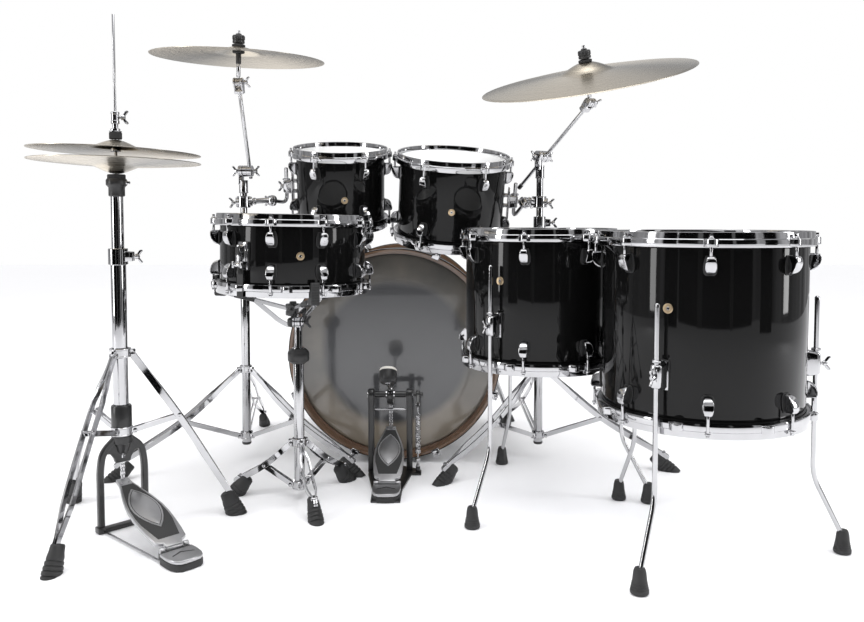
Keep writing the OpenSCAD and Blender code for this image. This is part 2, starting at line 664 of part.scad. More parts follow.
// Three double-braced legs: upper collar, knee and foot, with struts from the lower collar
module tripod(angles, tube_r, up_z, low_z, knee, foot_reach) {
    for (z = [up_z, low_z]) translate([0, 0, z - 10]) cylinder(r = tube_r + 5, h = 20);
    for (a = angles) rotate(a) {
        for (s = [-1, 1]) translate([0, s * leg_gap, 0]) {
            bar([tube_r + 2, 0, up_z], [knee[0], 0, knee[1]], leg_t, leg_w);
            bar([knee[0], 0, knee[1]], [foot_reach - 6, 0, foot_h - 4], leg_t, leg_w);
        }
        bar([tube_r + 2, 0, low_z], [knee[0], 0, knee[1]], leg_t + 2, leg_w);
        for (p = [[tube_r + 10, low_z], [knee[0], knee[1]], [tube_r + 8, up_z - 4], [foot_reach - 20, foot_h + 14]])
            translate([p[0], -leg_gap - 3, p[1]]) rotate([-90, 0, 0]) cylinder(r = 5, h = 2 * leg_gap + 6);
        translate([foot_reach, 0, 0]) rubber_foot();
        translate([foot_reach - 10, -9, foot_h - 16]) cube([10, 18, 16]);
    }
}
// Height lock: collar with a side block and a wing bolt
module height_lock(r, z, turn) translate([0, 0, z]) rotate(turn) {
    translate([0, 0, -36]) cylinder(r = r + 4.5, h = 36);
    translate([r, -9, -30]) cube([18, 18, 24]);
    translate([r + 17, 0, -18]) rotate([0, 90, 0]) wing_bolt(6);
}
module stand_base(angles, foot_reach, turn) {
    difference() {
        union() {
            translate([0, 0, 40]) cylinder(r = base_tube_r, h = lock_z - 40);
            tripod(angles, base_tube_r, collar_z, low_collar_z, [foot_reach * 0.49, collar_z * 0.5], foot_reach);
            height_lock(base_tube_r, lock_z, turn);
        }
        translate([0, 0, 44]) cylinder(r = post_r + running, h = lock_z);
    }
}

// ---- Cymbals, about the middle of their edge circle ----

hole_r = 6.3;
// Height of a cymbal's top surface at radius r
function bow_at(r, R, bell_r, bell_h, bow) =
    r < bell_r ? bow + bell_h * pow(cos(90 * r / bell_r), 1.3)
    : bow * (1 - pow((r - bell_r) / (R - bell_r), 1.4));
module cymbal(d, bell_r, bell_h, bow, t) {
    R = d / 2;
    steps = concat([for (i = [0 : 7]) hole_r + (bell_r - hole_r) * i / 7],
        [for (i = [1 : 8]) bell_r + (R - bell_r) * i / 8]);
    rotate_extrude() polygon(concat([for (r = steps) [r, bow_at(r, R, bell_r, bell_h, bow)]],
        [for (i = [len(steps) - 1 : -1 : 0]) [steps[i], bow_at(steps[i], R, bell_r, bell_h, bow) - t]]));
}
crash_bell = [66, 17, 15];
ride_bell = [72, 25, 20];
hihat_bell = [52, 17, 9];
cymbal_t = 1.5;
felt_r = 11;
module felt() rotate_extrude() difference() {
    intersection() {
        circle(r = felt_r);
        translate([hole_r, 0.6]) square([20, 20]);
    }
    square([hole_r, 30]);
}
function bell_top(bell, d) = bow_at(hole_r, d / 2, bell[0], bell[1], bell[2]);
// Cymbal with a felt above and below its bell
module dressed_cymbal(d, bell) {
    cymbal(d, bell[0], bell[1], bell[2], cymbal_t);
    translate([0, 0, bell_top(bell, d)]) felt();
    translate([0, 0, bell_top(bell, d) - cymbal_t]) mirror([0, 0, 1]) felt();
}

// ---- Boom stands: the head turns about the stand's tube to face its cymbal ----

stem_drop = 62;
pivot_x = 13;
boom_x = 6;
fork_x = 8;
pivot_disc_r = 16;
tilt_disc_r = 11.5;
stem_r = 4;
cup_r = 16;
function normal_of(tilt, roll) = turned([0, 0, 1], tilt, roll);
function tilter_at(at, tilt, roll) = at - stem_drop * normal_of(tilt, roll);
function head_turn(stand, t) = let (v = [t[0] - stand[0], t[1] - stand[1]], x = pivot_x + boom_x)
    atan2(v[1], v[0]) + atan2(sqrt(v * v - x * x), x);
function boom_reach(stand, t) = let (v = [t[0] - stand[0], t[1] - stand[1]], x = pivot_x + boom_x)
    sqrt(v * v - x * x);

left_tilter_at = tilter_at(crash_at, crash_tilt, crash_roll);
right_tilter_at = tilter_at(ride_at, ride_tilt, ride_roll);
left_turn = head_turn(left_stand_at, left_tilter_at);
right_turn = head_turn(right_stand_at, right_tilter_at);

// Clamp on the post with an arm that ends in the socket ring of a tom's ball
module ball_arm(stand, ball, elbow, s) {
    p = [stand[0], stand[1], clamp_z];
    e = (elbow - ball) / norm(elbow - ball);
    back = ball - e * socket_back;
    d = (back - p) / norm(back - p);
    out = s * cross(e, [0, 0, 1]) / norm(cross(e, [0, 0, 1]));
    placed([0, 0, 0]) {
        rod(p - d * 22, p + d * 24, 14);
        translate(p - [0, 0, 16]) cylinder(r = 19, h = 32);
        difference() {
            union() {
                rod(p + d * 16, back + d * 2, 8);
                rod(back - e * 3, ball - e * 2, ball_r + 3);
                rod(ball - e * ring_w / 2, ball + e * ring_w / 2, ball_r + 5);
                aimed(ball + out * (ball_r + 3), ball + out * 40) wing_bolt(4);
            }
            aimed(ball, elbow) sphere(r = ball_r + running);
        }
    }
}
module stand_post(stand, pivot_z, turn, ball, elbow, s) {
    placed(stand) {
        translate([0, 0, lock_z - 200]) cylinder(r = post_r, h = pivot_z - 40 - lock_z + 200);
        translate([0, 0, pivot_z - 62]) cylinder(r = 12, h = 36);
        rotate(turn) translate([pivot_x, 0, pivot_z]) {
            translate([-25.5, -10, -40]) cube([12, 20, 40]);
            rotate([0, 90, 0]) translate([0, 0, -26]) cylinder(r = pivot_disc_r, h = 13);
            rotate([0, 90, 0]) translate([0, 0, -14]) cylinder(r = 4, h = 13.5);
            translate([-25, 0, 0]) rotate([0, -90, 0]) wing_bolt(6);
        }
    }
    ball_arm(stand, ball, elbow, s);
}
// Boom: pivot drum with its pin hole, the rod through it, and the fork for the tilter
module boom(stand, pivot_z, t, turn, tail) {
    reach = boom_reach(stand, t);
    rise = t[2] - pivot_z;
    lean = atan2(reach, rise);
    length = norm([reach, rise]);
    placed(stand) rotate(turn) translate([pivot_x, 0, pivot_z]) {
        difference() {
            rotate([0, 90, 0]) translate([0, 0, -12.7]) cylinder(r = pivot_disc_r, h = 27);
            rotate([0, 90, 0]) translate([0, 0, -13]) cylinder(r = 4 + running, h = 13);
        }
        translate([13, 0, 0]) rotate([0, 90, 0]) wing_bolt(6);
        translate([boom_x, 0, 0]) rotate([lean, 0, 0]) {
            translate([0, 0, -tail]) cylinder(r = boom_r, h = tail + length - 20);
            translate([-fork_x - 5, -8, length - 30]) cube([2 * fork_x + 10, 16, 17]);
            for (s = [-1, 1]) translate([s * (fork_x + 2.5) - 2.5, 0, 0]) {
                translate([0, -8, length - 20]) cube([5, 16, 20]);
                translate([0, 0, length]) rotate([0, 90, 0]) cylinder(r = tilt_disc_r, h = 5);
            }
            translate([-fork_x - 1, 0, length]) rotate([0, 90, 0]) cylinder(r = 3, h = 2 * fork_x + 2);
            translate([fork_x + 4, 0, length]) rotate([0, 90, 0]) wing_bolt(5);
        }
    }
}
// Tilter: tongue between the fork's cheeks, stem, cup and wing nut
module tilter(stand, pivot_z, t, turn, tilt, roll, bell, d) {
    n = normal_of(tilt, roll);
    top = stem_drop + bell_top(bell, d);
    half = fork_x - 0.3;
    placed([0, 0, 0]) difference() {
        union() {
            translate(t) rotate(turn) rotate([0, 90, 0]) translate([0, 0, -half]) cylinder(r = tilt_disc_r, h = 2 * half);
            rod(t, t + n * (top + 42), stem_r);
            rod(t + n * 14, t + n * (top - cymbal_t - felt_r - 4), stem_r + 1.5);
            difference() {
                rod(t + n * (top - cymbal_t - felt_r - 5), t + n * (top - cymbal_t - felt_r + 3), cup_r);
                translate(t + n * (top - cymbal_t)) sphere(r = felt_r + 0.3);
            }
            difference() {
                rod(t + n * (top + felt_r - 3), t + n * (top + felt_r + 12), cup_r);
                translate(t + n * top) sphere(r = felt_r + 0.3);
            }
            aimed(t + n * (top + felt_r + 11), t + n * (top + 60)) wing_bolt(0);
        }
        translate(t) rotate(turn) rotate([0, 90, 0]) translate([0, 0, -20]) cylinder(r = 3 + running, h = 40);
    }
}

left_legs = [-146, -26, 94];
right_legs = [-140.2, -20.2, 99.8];
module left_stand_base() color("silver") placed(left_stand_at) stand_base(left_legs, left_foot_r, 180);
module left_stand_post() color("silver") stand_post(left_stand_at, left_pivot_z, left_turn,
    tom_1_ball, tom_1_elbow, -1);
module left_boom() color("silver") boom(left_stand_at, left_pivot_z, left_tilter_at, left_turn, 22);
module left_tilter() color("silver") tilter(left_stand_at, left_pivot_z, left_tilter_at, left_turn,
    crash_tilt, crash_roll, crash_bell, crash_d);
module crash_cymbal() color("#b5a98a") placed(crash_at) rotate([0, crash_roll, 0]) rotate([crash_tilt, 0, 0])
    dressed_cymbal(crash_d, crash_bell);
module right_stand_base() color("silver") placed(right_stand_at) stand_base(right_legs, right_foot_r, 0);
module right_stand_post() color("silver") stand_post(right_stand_at, right_pivot_z, right_turn,
    tom_2_ball, tom_2_elbow, 1);
module right_boom() color("silver") boom(right_stand_at, right_pivot_z, right_tilter_at, right_turn, 145);
module right_tilter() color("silver") tilter(right_stand_at, right_pivot_z, right_tilter_at, right_turn,
    ride_tilt, ride_roll, ride_bell, ride_d);
module ride_cymbal() color("#b5a98a") placed(ride_at) rotate([0, ride_roll, 0]) rotate([ride_tilt, 0, 0])
    dressed_cymbal(ride_d, ride_bell);

// ---- Snare stand ----

snare_legs = [-68, 52, 172];
basket_arms = [-65.5, 54.5, 174.5];
basket_pivot = [snare_stand_at[0], snare_stand_at[1], 436];
basket_drop = 2 * rim_up + snare_depth + 46;
basket_hub = snare_at - leaned([0, 0, basket_drop], snare_roll);
claw_pad_w = 20;
module snare_stand_base() color("silver") placed(snare_stand_at) difference() {
    union() {
        translate([0, 0, 24]) cylinder(r = base_tube_r, h = snare_lock_z - 24);
        tripod(snare_legs, base_tube_r, snare_collar_z, 34, [snare_foot_r * 0.52, snare_collar_z * 0.55], snare_foot_r);
        height_lock(base_tube_r, snare_lock_z, 0);
    }
    translate([0, 0, 28]) cylinder(r = post_r + running, h = snare_lock_z);
}
module snare_stand_post() color("silver") placed(basket_pivot) {
    translate([0, 0, snare_lock_z - 150 - basket_pivot[2]]) cylinder(r = post_r, h = basket_pivot[2] - snare_lock_z + 150 - 14);
    difference() {
        union() {
            translate([-7, -8, -20]) cube([14, 16, 20]);
            rotate([0, 90, 0]) translate([0, 0, -7]) cylinder(r = 13, h = 14);
        }
        rotate([0, 90, 0]) translate([0, 0, -20]) cylinder(r = 4 + running, h = 40);
    }
}
module snare_basket() color("#2a2a2c") {
    h = basket_hub;
    p = basket_pivot;
    placed(p) {
        for (s = [-1, 1]) translate([s * 10.3 - 3, 0, 0]) rotate([0, 90, 0]) cylinder(r = 13, h = 6);
        rotate([0, 90, 0]) translate([0, 0, -12]) cylinder(r = 4, h = 24);
        for (s = [-1, 1]) bar([s * 10.3, 0, 0], [s * 10.3, h[1] - p[1] - 8, h[2] - p[2]], 6, 12);
    }
    placed([h[0], h[1], h[2] - 14]) cylinder(r = 18, h = 28);
    placed([h[0], h[1] - 14, h[2]]) translate([-4, -10, -8]) cube([40, 14, 14]);
    placed(h) rotate([0, snare_roll, 0]) for (a = basket_arms) rotate(a) {
        r = shell_r(snare_d) + rim_out;
        pad = 46 - seat;
        bar([10, 0, 0], [r - 12, 0, pad - 10], 14, 8);
        translate([r - 14, -claw_pad_w / 2, pad - 16]) cube([24, claw_pad_w, 16]);
        translate([r + 1, -claw_pad_w / 2, pad - 16]) cube([9, claw_pad_w, 52]);
    }
}

// ---- Hi-hat ----

hihat_legs = [-100.7, 19.3, 139.3];
sleeve_z = 205;
hihat_band_z = 218;
frame_half = 50;
hihat_heel = 235;
hihat_heel_z = 24;
hihat_toe_z = 98;
chain_top = 158;
seat_z = hihat_z - hihat_bell[1] - hihat_bell[2] - 0.2;
clutch_z = hihat_z + hihat_gap + hihat_bell[1] + hihat_bell[2];
pull_r = 3;
module in_hihat(turn = 0) placed(hihat_at) rotate(turn) children();
module hihat_base() color("silver") {
    in_hihat() difference() {
        union() {
            translate([0, 0, sleeve_z - 12]) cylinder(r = hihat_tube_r, h = hihat_lock_z - sleeve_z + 12);
            translate([0, 0, sleeve_z - 15]) cylinder(r = 22, h = 85);
            tripod(hihat_legs, hihat_tube_r + 2, hihat_collar_z, hihat_band_z, [hihat_foot_r * 0.5, 243], hihat_foot_r);
            height_lock(hihat_tube_r, hihat_lock_z, 0);
        }
        translate([0, 0, sleeve_z]) cylinder(r = hihat_post_r + running, h = hihat_lock_z);
        translate([0, 0, sleeve_z - 30]) cylinder(r = pull_r + 2, h = 60);
    }
    // black frame: two cheeks down to a foot bar, heel plate and radius rods
    in_hihat(hihat_pedal_turn) {
        for (s = [-1, 1]) {
            translate([-7, s * frame_half - 5, 0]) cube([14, 10, 150]);
            bar([0, s * frame_half, 146], [0, s * 14, sleeve_z - 6], 12, 14);
            rod([0, s * frame_half, 5], [hihat_heel + 20, s * 30, 5], 2.5);
            translate([hihat_heel - 5, s * 26 - 5, 0]) cube([14, 10, hihat_heel_z]);
            translate([hihat_heel, s * 26 - 5, hihat_heel_z]) rotate([-90, 0, 0]) cylinder(r = 6, h = 10);
        }
        translate([-9, -frame_half - 7, 0]) cube([18, 2 * frame_half + 14, 10]);
        translate([hihat_heel + 7, -37, 0]) cube([58, 74, hihat_heel_z]);
        translate([hihat_heel, -26, hihat_heel_z]) rotate([-90, 0, 0]) cylinder(r = 3, h = 52);
    }
}
module hihat_footboard() color("#b9bbbe") in_hihat(hihat_pedal_turn) {
    rise = hihat_toe_z - hihat_heel_z;
    tip = norm([hihat_heel, rise]);
    difference() {
        union() {
            translate([hihat_heel, -19.6, hihat_heel_z]) rotate([-90, 0, 0]) cylinder(r = 6, h = 39.2);
            translate([hihat_heel, 0, hihat_heel_z]) rotate([0, atan2(rise, hihat_heel), 0]) translate([0, 0, 1])
                linear_extrude(board_t) polygon([[3, -18], [3, 18], [-9, 18], [-16, 32], [-tip * 0.42, 41],
                    [-tip * 0.7, 31], [-tip * 0.92, 17], [-tip - 8, 14], [-tip - 8, -14], [-tip * 0.92, -17],
                    [-tip * 0.7, -31], [-tip * 0.42, -41], [-16, -32], [-9, -18]]);
        }
        translate([hihat_heel, -30, hihat_heel_z]) rotate([-90, 0, 0]) cylinder(r = 3 + running, h = 60);
    }
}
// Upper tube with the cup that seats the bottom cymbal
module hihat_post() color("silver") in_hihat() difference() {
    union() {
        translate([0, 0, hihat_lock_z - 150]) cylinder(r = hihat_post_r, h = seat_z - hihat_lock_z + 110);
        translate([0, 0, seat_z - 50]) cylinder(r = 17, h = 30);
        translate([0, 0, seat_z - 26]) cylinder(r = 22, h = 16);
        translate([0, 0, seat_z - 12]) cylinder(r = 19, h = 11.4);
        translate([0, 0, seat_z - 1]) cylinder(r = hole_r - 0.3, h = 8);
    }
    translate([0, 0, hihat_lock_z - 151]) cylinder(r = pull_r + running, h = 400);
}
module hihat_bottom_cymbal() color("#b5a98a") in_hihat() translate([0, 0, hihat_z])
    rotate([0, hihat_bottom_roll, 0]) mirror([0, 0, 1]) cymbal(hihat_d, hihat_bell[0], hihat_bell[1], hihat_bell[2], cymbal_t);
// Pull rod with the chain that joins it to the footboard's toe
module hihat_rod() color("silver") in_hihat() {
    translate([0, 0, chain_top]) cylinder(r = pull_r, h = hihat_rod_z - chain_top);
    translate([0, 0, chain_top]) cylinder(r = 8, h = 14);
    translate([-2.5, -5, hihat_toe_z + board_t + 3]) cube([5, 10, chain_top - hihat_toe_z - board_t - 2]);
}
module hihat_clutch() color("silver") in_hihat() difference() {
    z = clutch_z;
    union() {
        translate([0, 0, z - 26]) cylinder(r = hole_r - 0.3, h = 70);
        translate([0, 0, z - 26]) cylinder(r = 11, h = 8);
        translate([0, 0, z - cymbal_t - 14]) cylinder(r = 10, h = 11);
        translate([0, 0, z + 0.8]) cylinder(r = 13, h = 16);
        translate([0, 0, z + 18]) cylinder(r = 10, h = 6);
        translate([0, 0, z + 36]) cylinder(r = 9, h = 24);
        translate([8, 0, z + 48]) rotate([0, 90, 0]) wing_bolt(6);
    }
    translate([0, 0, z - 40]) cylinder(r = pull_r + running, h = 120);
}
module hihat_top_cymbal() color("#b5a98a") in_hihat() translate([0, 0, hihat_z + hihat_gap])
    rotate([0, hihat_top_roll, 0]) cymbal(hihat_d, hihat_bell[0], hihat_bell[1], hihat_bell[2], cymbal_t);

bass_shell();
bass_heads();
bass_hoops();
bass_lugs();
bass_spur_left();
bass_spur_right();
kick_frame();
kick_footboard();
kick_beater();
kick_spring();
snare_shell();
snare_heads();
snare_hoops();
snare_lugs();
snare_lever();
snare_wires();
snare_stand_base();
snare_stand_post();
snare_basket();
tom_1_shell();
tom_1_heads();
tom_1_hoops();
tom_1_lugs();
tom_1_rod();
tom_2_shell();
tom_2_heads();
tom_2_hoops();
tom_2_lugs();
tom_2_rod();
floor_tom_1_shell();
floor_tom_1_heads();
floor_tom_1_hoops();
floor_tom_1_lugs();
floor_tom_1_leg(0);  // floor_tom_1_leg_left
floor_tom_1_leg(1);  // floor_tom_1_leg_right
floor_tom_1_leg(2);  // floor_tom_1_leg_back
floor_tom_2_shell();
floor_tom_2_heads();
floor_tom_2_hoops();
floor_tom_2_lugs();
floor_tom_2_leg(0);  // floor_tom_2_leg_left
floor_tom_2_leg(1);  // floor_tom_2_leg_right
floor_tom_2_leg(2);  // floor_tom_2_leg_back
left_stand_base();
left_stand_post();
left_boom();
left_tilter();
crash_cymbal();
right_stand_base();
right_stand_post();
right_boom();
right_tilter();
ride_cymbal();
hihat_base();
hihat_post();
hihat_rod();
hihat_clutch();
hihat_top_cymbal();
hihat_bottom_cymbal();
hihat_footboard();
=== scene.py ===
# Acoustic drum kit: its pieces and finishes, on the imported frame. The player sits on the -Y side.
# Pieces are shaped in millimetres, each about its own middle, and then set in the frame in metres.
from math import atan2, cos, hypot, pi, radians, sin, sqrt

import bmesh
import bpy
from mathutils import Matrix, Vector


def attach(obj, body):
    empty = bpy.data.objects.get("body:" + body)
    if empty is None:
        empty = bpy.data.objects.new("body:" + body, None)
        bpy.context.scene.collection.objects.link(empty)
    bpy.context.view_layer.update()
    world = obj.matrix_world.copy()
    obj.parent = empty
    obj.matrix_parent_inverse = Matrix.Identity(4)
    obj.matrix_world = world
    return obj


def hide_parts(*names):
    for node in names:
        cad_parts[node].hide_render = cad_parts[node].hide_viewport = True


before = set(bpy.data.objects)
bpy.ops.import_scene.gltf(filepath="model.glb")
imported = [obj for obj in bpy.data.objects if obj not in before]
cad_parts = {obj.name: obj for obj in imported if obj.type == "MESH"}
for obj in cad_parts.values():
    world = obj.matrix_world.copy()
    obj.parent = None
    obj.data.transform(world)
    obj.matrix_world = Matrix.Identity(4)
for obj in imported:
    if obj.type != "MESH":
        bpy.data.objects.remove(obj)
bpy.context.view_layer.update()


# ---- Places ----

def shift(x=0, y=0, z=0):
    return Matrix.Translation((x, y, z))


def turn(axis, degrees):
    return Matrix.Rotation(radians(degrees), 4, axis)


def bearing(rise, run):
    """The slope of a rise over a run, in degrees."""
    return atan2(rise, run) * 180 / pi


def aimed(a, b):
    """A frame at a with its Z axis pointing to b."""
    a, b = Vector(a), Vector(b)
    v = b - a
    return Matrix.Translation(a) @ turn("Z", bearing(v.y, v.x)) @ turn("Y", bearing(hypot(v.x, v.y), v.z))


def leaned(tilt, roll):
    return turn("Y", roll) @ turn("X", tilt)


# Millimetres from the bottom centre of the beater hoop, to metres in the frame
KIT = Matrix.Diagonal((0.001, 0.001, 0.001, 1)) @ shift(-89, 132, 0)
FLIP = turn("X", 180)
BOTH_ENDS = [Matrix(), FLIP]
# Stands a plate of the XY plane up, UPRIGHT facing -Y and FACING_X facing +X, and lays a turned piece along X
UPRIGHT, FACING_X, TO_X = turn("X", 90), turn("Z", 90) @ turn("X", 90), turn("Y", 90)


def kit(x, y, z=0.0):
    return KIT @ Vector((x, y, z))


def around(count, first=0):
    """That many places spread evenly about Z."""
    return [turn("Z", first + i * 360 / count) for i in range(count)]


def both_ways(places):
    """The places on a drum's upper end, and their twins on its lower end."""
    return places + [place @ FLIP for place in places]


def mirrored(half, last=None):
    """The outline whose one side is half. last=-2 leaves out the mirror of a last point on the middle line."""
    return half + [(-x, y) for x, y in half[last::-1]]


# ---- Sizes and places that several pieces share, in millimetres and degrees ----

RIM_RISE = 13
BASS_D, BASS_DEPTH, BASS_Z = 559, 457, 306.5
# Rack toms: diameter, depth, centre of the top rim, tilt and roll, side of the bracket, ball of the rod
TOMS = {"tom_1": (254, 203, (-159, 86, 893), (12, 1), -1, (-354, 76, 739)),
        "tom_2": (305, 229, (166, 68, 873), (13.5, 3), 1, (369, 71, 731))}
SNARE_D, SNARE_DEPTH, SNARE_TOP, SNARE_LEAN, STRAINER_ANGLE = 356, 165, (-239, -234, 698), (0, 1), -119
SNARE_STAND = (-222, -284, 0)
HIHAT = (-584, -468, 0)
HIHAT_PEDAL = turn("Z", -45)
# Cymbals: middle of the edge's plane, tilt and roll, then diameter, bell radius, bell height and bow
CRASH_AT, CRASH_LEAN, CRASH_SIZE = (-415, -52, 1116), (4.4, 2.2), (457, 66, 17, 15)
RIDE_AT, RIDE_LEAN, RIDE_SIZE = (511, -104, 1053), (15, -10.7), (558, 72, 25, 20)


# ---- Camera, floor and lights ----

def set_camera():
    width, focal, rise, pitch = 864, 790.5, 48.2, 0.0538
    bpy.ops.object.camera_add(location=kit(104, -2199, 683.2), rotation=(pi / 2 - pitch, 0, 0))
    camera = bpy.context.object
    camera.name = "camera"
    camera.data.sensor_width = 36
    camera.data.lens = 36 * focal / width
    camera.data.shift_y = -rise / width
    bpy.context.scene.camera = camera


def set_floor():
    bpy.ops.mesh.primitive_plane_add(size=16, location=(0, 2.0, -0.0005))
    floor = bpy.context.object
    floor.name = "floor"
    floor.data.materials.append(FLOOR)


def add_flag(name, place, aim, width, height, material):
    """A studio screen that is seen only in reflections."""
    bpy.ops.mesh.primitive_plane_add(size=1, location=place)
    flag = bpy.context.object
    flag.name = name
    flag.scale = (width, height, 1)
    flag.rotation_euler = (Vector(aim) - Vector(place)).to_track_quat("Z", "Y").to_euler()
    flag.data.materials.append(material)
    flag.visible_camera = False
    flag.visible_shadow = False
    flag.visible_diffuse = False


def add_softbox(name, place, aim, width, height, power):
    bpy.ops.object.light_add(type="AREA", location=place)
    lamp = bpy.context.object
    lamp.name = name
    lamp.data.shape = "RECTANGLE"
    lamp.data.size, lamp.data.size_y = width, height
    lamp.data.energy = power
    lamp.rotation_euler = (Vector(aim) - Vector(place)).to_track_quat("-Z", "Y").to_euler()


def set_lights():
    world = bpy.data.worlds.new("studio")
    bpy.context.scene.world = world
    world.use_nodes = True
    world.node_tree.nodes["Background"].inputs["Color"].default_value = (1, 1, 1, 1)
    world.node_tree.nodes["Background"].inputs["Strength"].default_value = 1.0
    for name, place, width in (("back_wall", (0, 5.5, 1.6), 12), ("front_wall", (0, -6.2, 1.6), 12),
                               ("left_wall", (-5.8, -0.4, 1.6), 12), ("right_wall", (5.8, -0.4, 1.6), 12)):
        add_flag(name, place, (0, 0, 1.6), width, 3.4, WALL)
    add_flag("ceiling", (0, 0, 4.2), (0, 0, 0), 12, 12, CEILING)
    add_flag("front_screen", (0, -5.0, 1.25), (0, 0, 1.0), 7.5, 3.6, SCREEN)
    add_flag("front_screen_left", (-3.1, -3.3, 1.2), (0, 0, 1.0), 1.2, 3.2, SCREEN)
    add_flag("front_screen_right", (3.6, -2.9, 1.2), (0, 0, 1.0), 1.0, 3.2, SCREEN)
    add_flag("grey_strip_left", (-1.1, -4.8, 1.2), (0, 0, 1.0), 0.4, 4.0, SCREEN_GREY)
    add_flag("grey_strip_right", (1.5, -4.8, 1.2), (0, 0, 1.0), 0.25, 4.0, SCREEN_GREY)
    add_softbox("top_box", (0, -0.6, 3.2), (0, 0, 0.4), 3.2, 2.4, 70)
    add_softbox("left_box", (-3.2, -1.6, 1.5), (0, 0, 0.7), 0.5, 2.4, 36)
    add_softbox("right_box", (3.2, -1.0, 1.5), (0, 0, 0.7), 0.4, 2.4, 30)
    bpy.context.scene.view_settings.view_transform = "Standard"


# ---- Finishes: a socket with arithmetic, and one way to add a node ----

class Socket:
    def __init__(self, finish, socket):
        self.finish, self.socket = finish, socket

    def worked(self, operation, *values):
        return self.finish.node("ShaderNodeMath", {"operation": operation}, *values)

    def __add__(self, other): return self.worked("ADD", self, other)
    def __radd__(self, other): return self.worked("ADD", other, self)
    def __sub__(self, other): return self.worked("SUBTRACT", self, other)
    def __rsub__(self, other): return self.worked("SUBTRACT", other, self)
    def __mul__(self, other): return self.worked("MULTIPLY", self, other)
    def __rmul__(self, other): return self.worked("MULTIPLY", other, self)
    def __pow__(self, other): return self.worked("POWER", self, other)
    def __abs__(self): return self.worked("ABSOLUTE", self)
    def sine(self): return self.worked("SINE", self)
    def root(self): return self.worked("SQRT", self)
    def angle_with(self, other): return self.worked("ARCTAN2", self, other)


class Finish:
    def __init__(self, name, **constants):
        self.material = bpy.data.materials.new(name)
        self.material.use_nodes = True
        self.tree = self.material.node_tree
        self.shader = self.tree.nodes["Principled BSDF"]
        for key, value in constants.items():
            self.shader.inputs[key.replace("_", " ")].default_value = value

    def node(self, kind, settings=None, *values, output=0, **named):
        """Adds a node of that kind with its settings, and the values or links of its sockets."""
        node = self.tree.nodes.new(kind)
        settings = dict(settings or {})
        stops = settings.pop("stops", None)
        for key, value in settings.items():
            setattr(node, key, value)
        if stops:
            while len(node.color_ramp.elements) < len(stops):
                node.color_ramp.elements.new(0.5)
            for element, (place, shade) in zip(node.color_ramp.elements, stops):
                element.position, element.color = place, (*shade, 1)
        for key, value in [*enumerate(values), *named.items()]:
            self.join(value, node.inputs[key])
        return Socket(self, node.outputs[output])

    def join(self, value, entry):
        if isinstance(value, Socket):
            self.tree.links.new(value.socket, entry)
        else:
            entry.default_value = value

    def place(self):
        return self.node("ShaderNodeTexCoord", output="Object")

    def centred(self, centre, tilt=0, roll=0):
        """Place in metres from a centre, in a frame that is tilted and leaned."""
        settings = {"vector_type": "TEXTURE"}
        return self.node("ShaderNodeMapping", settings, self.place(), tuple(centre), (radians(tilt), radians(roll), 0))

    def parts(self, point):
        split = self.node("ShaderNodeSeparateXYZ", None, point).socket.node
        return [Socket(self, out) for out in split.outputs]

    def noise(self, scale, detail=3.0, point=None, rough=0.5):
        return self.node("ShaderNodeTexNoise", None, Vector=point or self.place(), Scale=scale, Detail=detail,
                         Roughness=rough)

    def point(self, x, y, z):
        return self.node("ShaderNodeCombineXYZ", None, x, y, z)

    def colour(self, mask, low, high):
        """A colour from low to high as the mask goes from 0 to 1."""
        mix = self.tree.nodes.new("ShaderNodeMix")
        mix.data_type = "RGBA"
        for entry, value in ((0, mask), (6, low), (7, high)):
            self.join((*value, 1) if isinstance(value, tuple) else value, mix.inputs[entry])
        return Socket(self, mix.outputs[2])

    def feed(self, **inputs):
        for key, value in inputs.items():
            self.join(value, self.shader.inputs[key.replace("_", " ")])
        return self

    def bump(self, height, distance, strength=1.0):
        return self.feed(Normal=self.node("ShaderNodeBump", None, Strength=strength, Distance=distance, Height=height))


def shade(level):
    return level, level, level * 1.02


def plain(name, low, high, rough, spread=0.1, metallic=0.0, cloud=40.0, grain=900.0, depth=0.00004, **constants):
    """A finish with soft clouds of tone and roughness, over a fine grain."""
    f = Finish(name, Metallic=metallic, **constants)
    mask = f.noise(cloud, 4.0)
    f.feed(Base_Color=f.colour(mask, low, high), Roughness=rough + mask * spread)
    return f.bump(f.noise(grain, 2.0), depth, 0.6).material


def hoop_wood():
    """Lacquered maple, its grain running round the hoops of a drum that lies along Y."""
    f = Finish("hoop_maple", Coat_Weight=0.9, Coat_Roughness=0.05)
    x, y, z = f.parts(f.centred(kit(0, 0, BASS_Z)))
    angle = x.angle_with(z)
    radius = (x * x + z * z).root()
    grain = f.noise(3.0, 6.0, f.point(angle * 1.2, y * 60.0, radius * 90.0), 0.6)
    streak = f.noise(8.0, 3.0, f.point(angle * 0.7, y * 190.0, radius * 240.0))
    stops = [(0.2, (0.055, 0.028, 0.016)), (0.5, (0.13, 0.072, 0.042)), (0.8, (0.24, 0.14, 0.08))]
    tone = f.node("ShaderNodeValToRGB", {"stops": stops}, grain * 0.65 + streak * 0.35)
    f.feed(Base_Color=tone, Roughness=0.24 + grain * 0.12)
    return f.bump(streak, 0.0001, 0.3).material


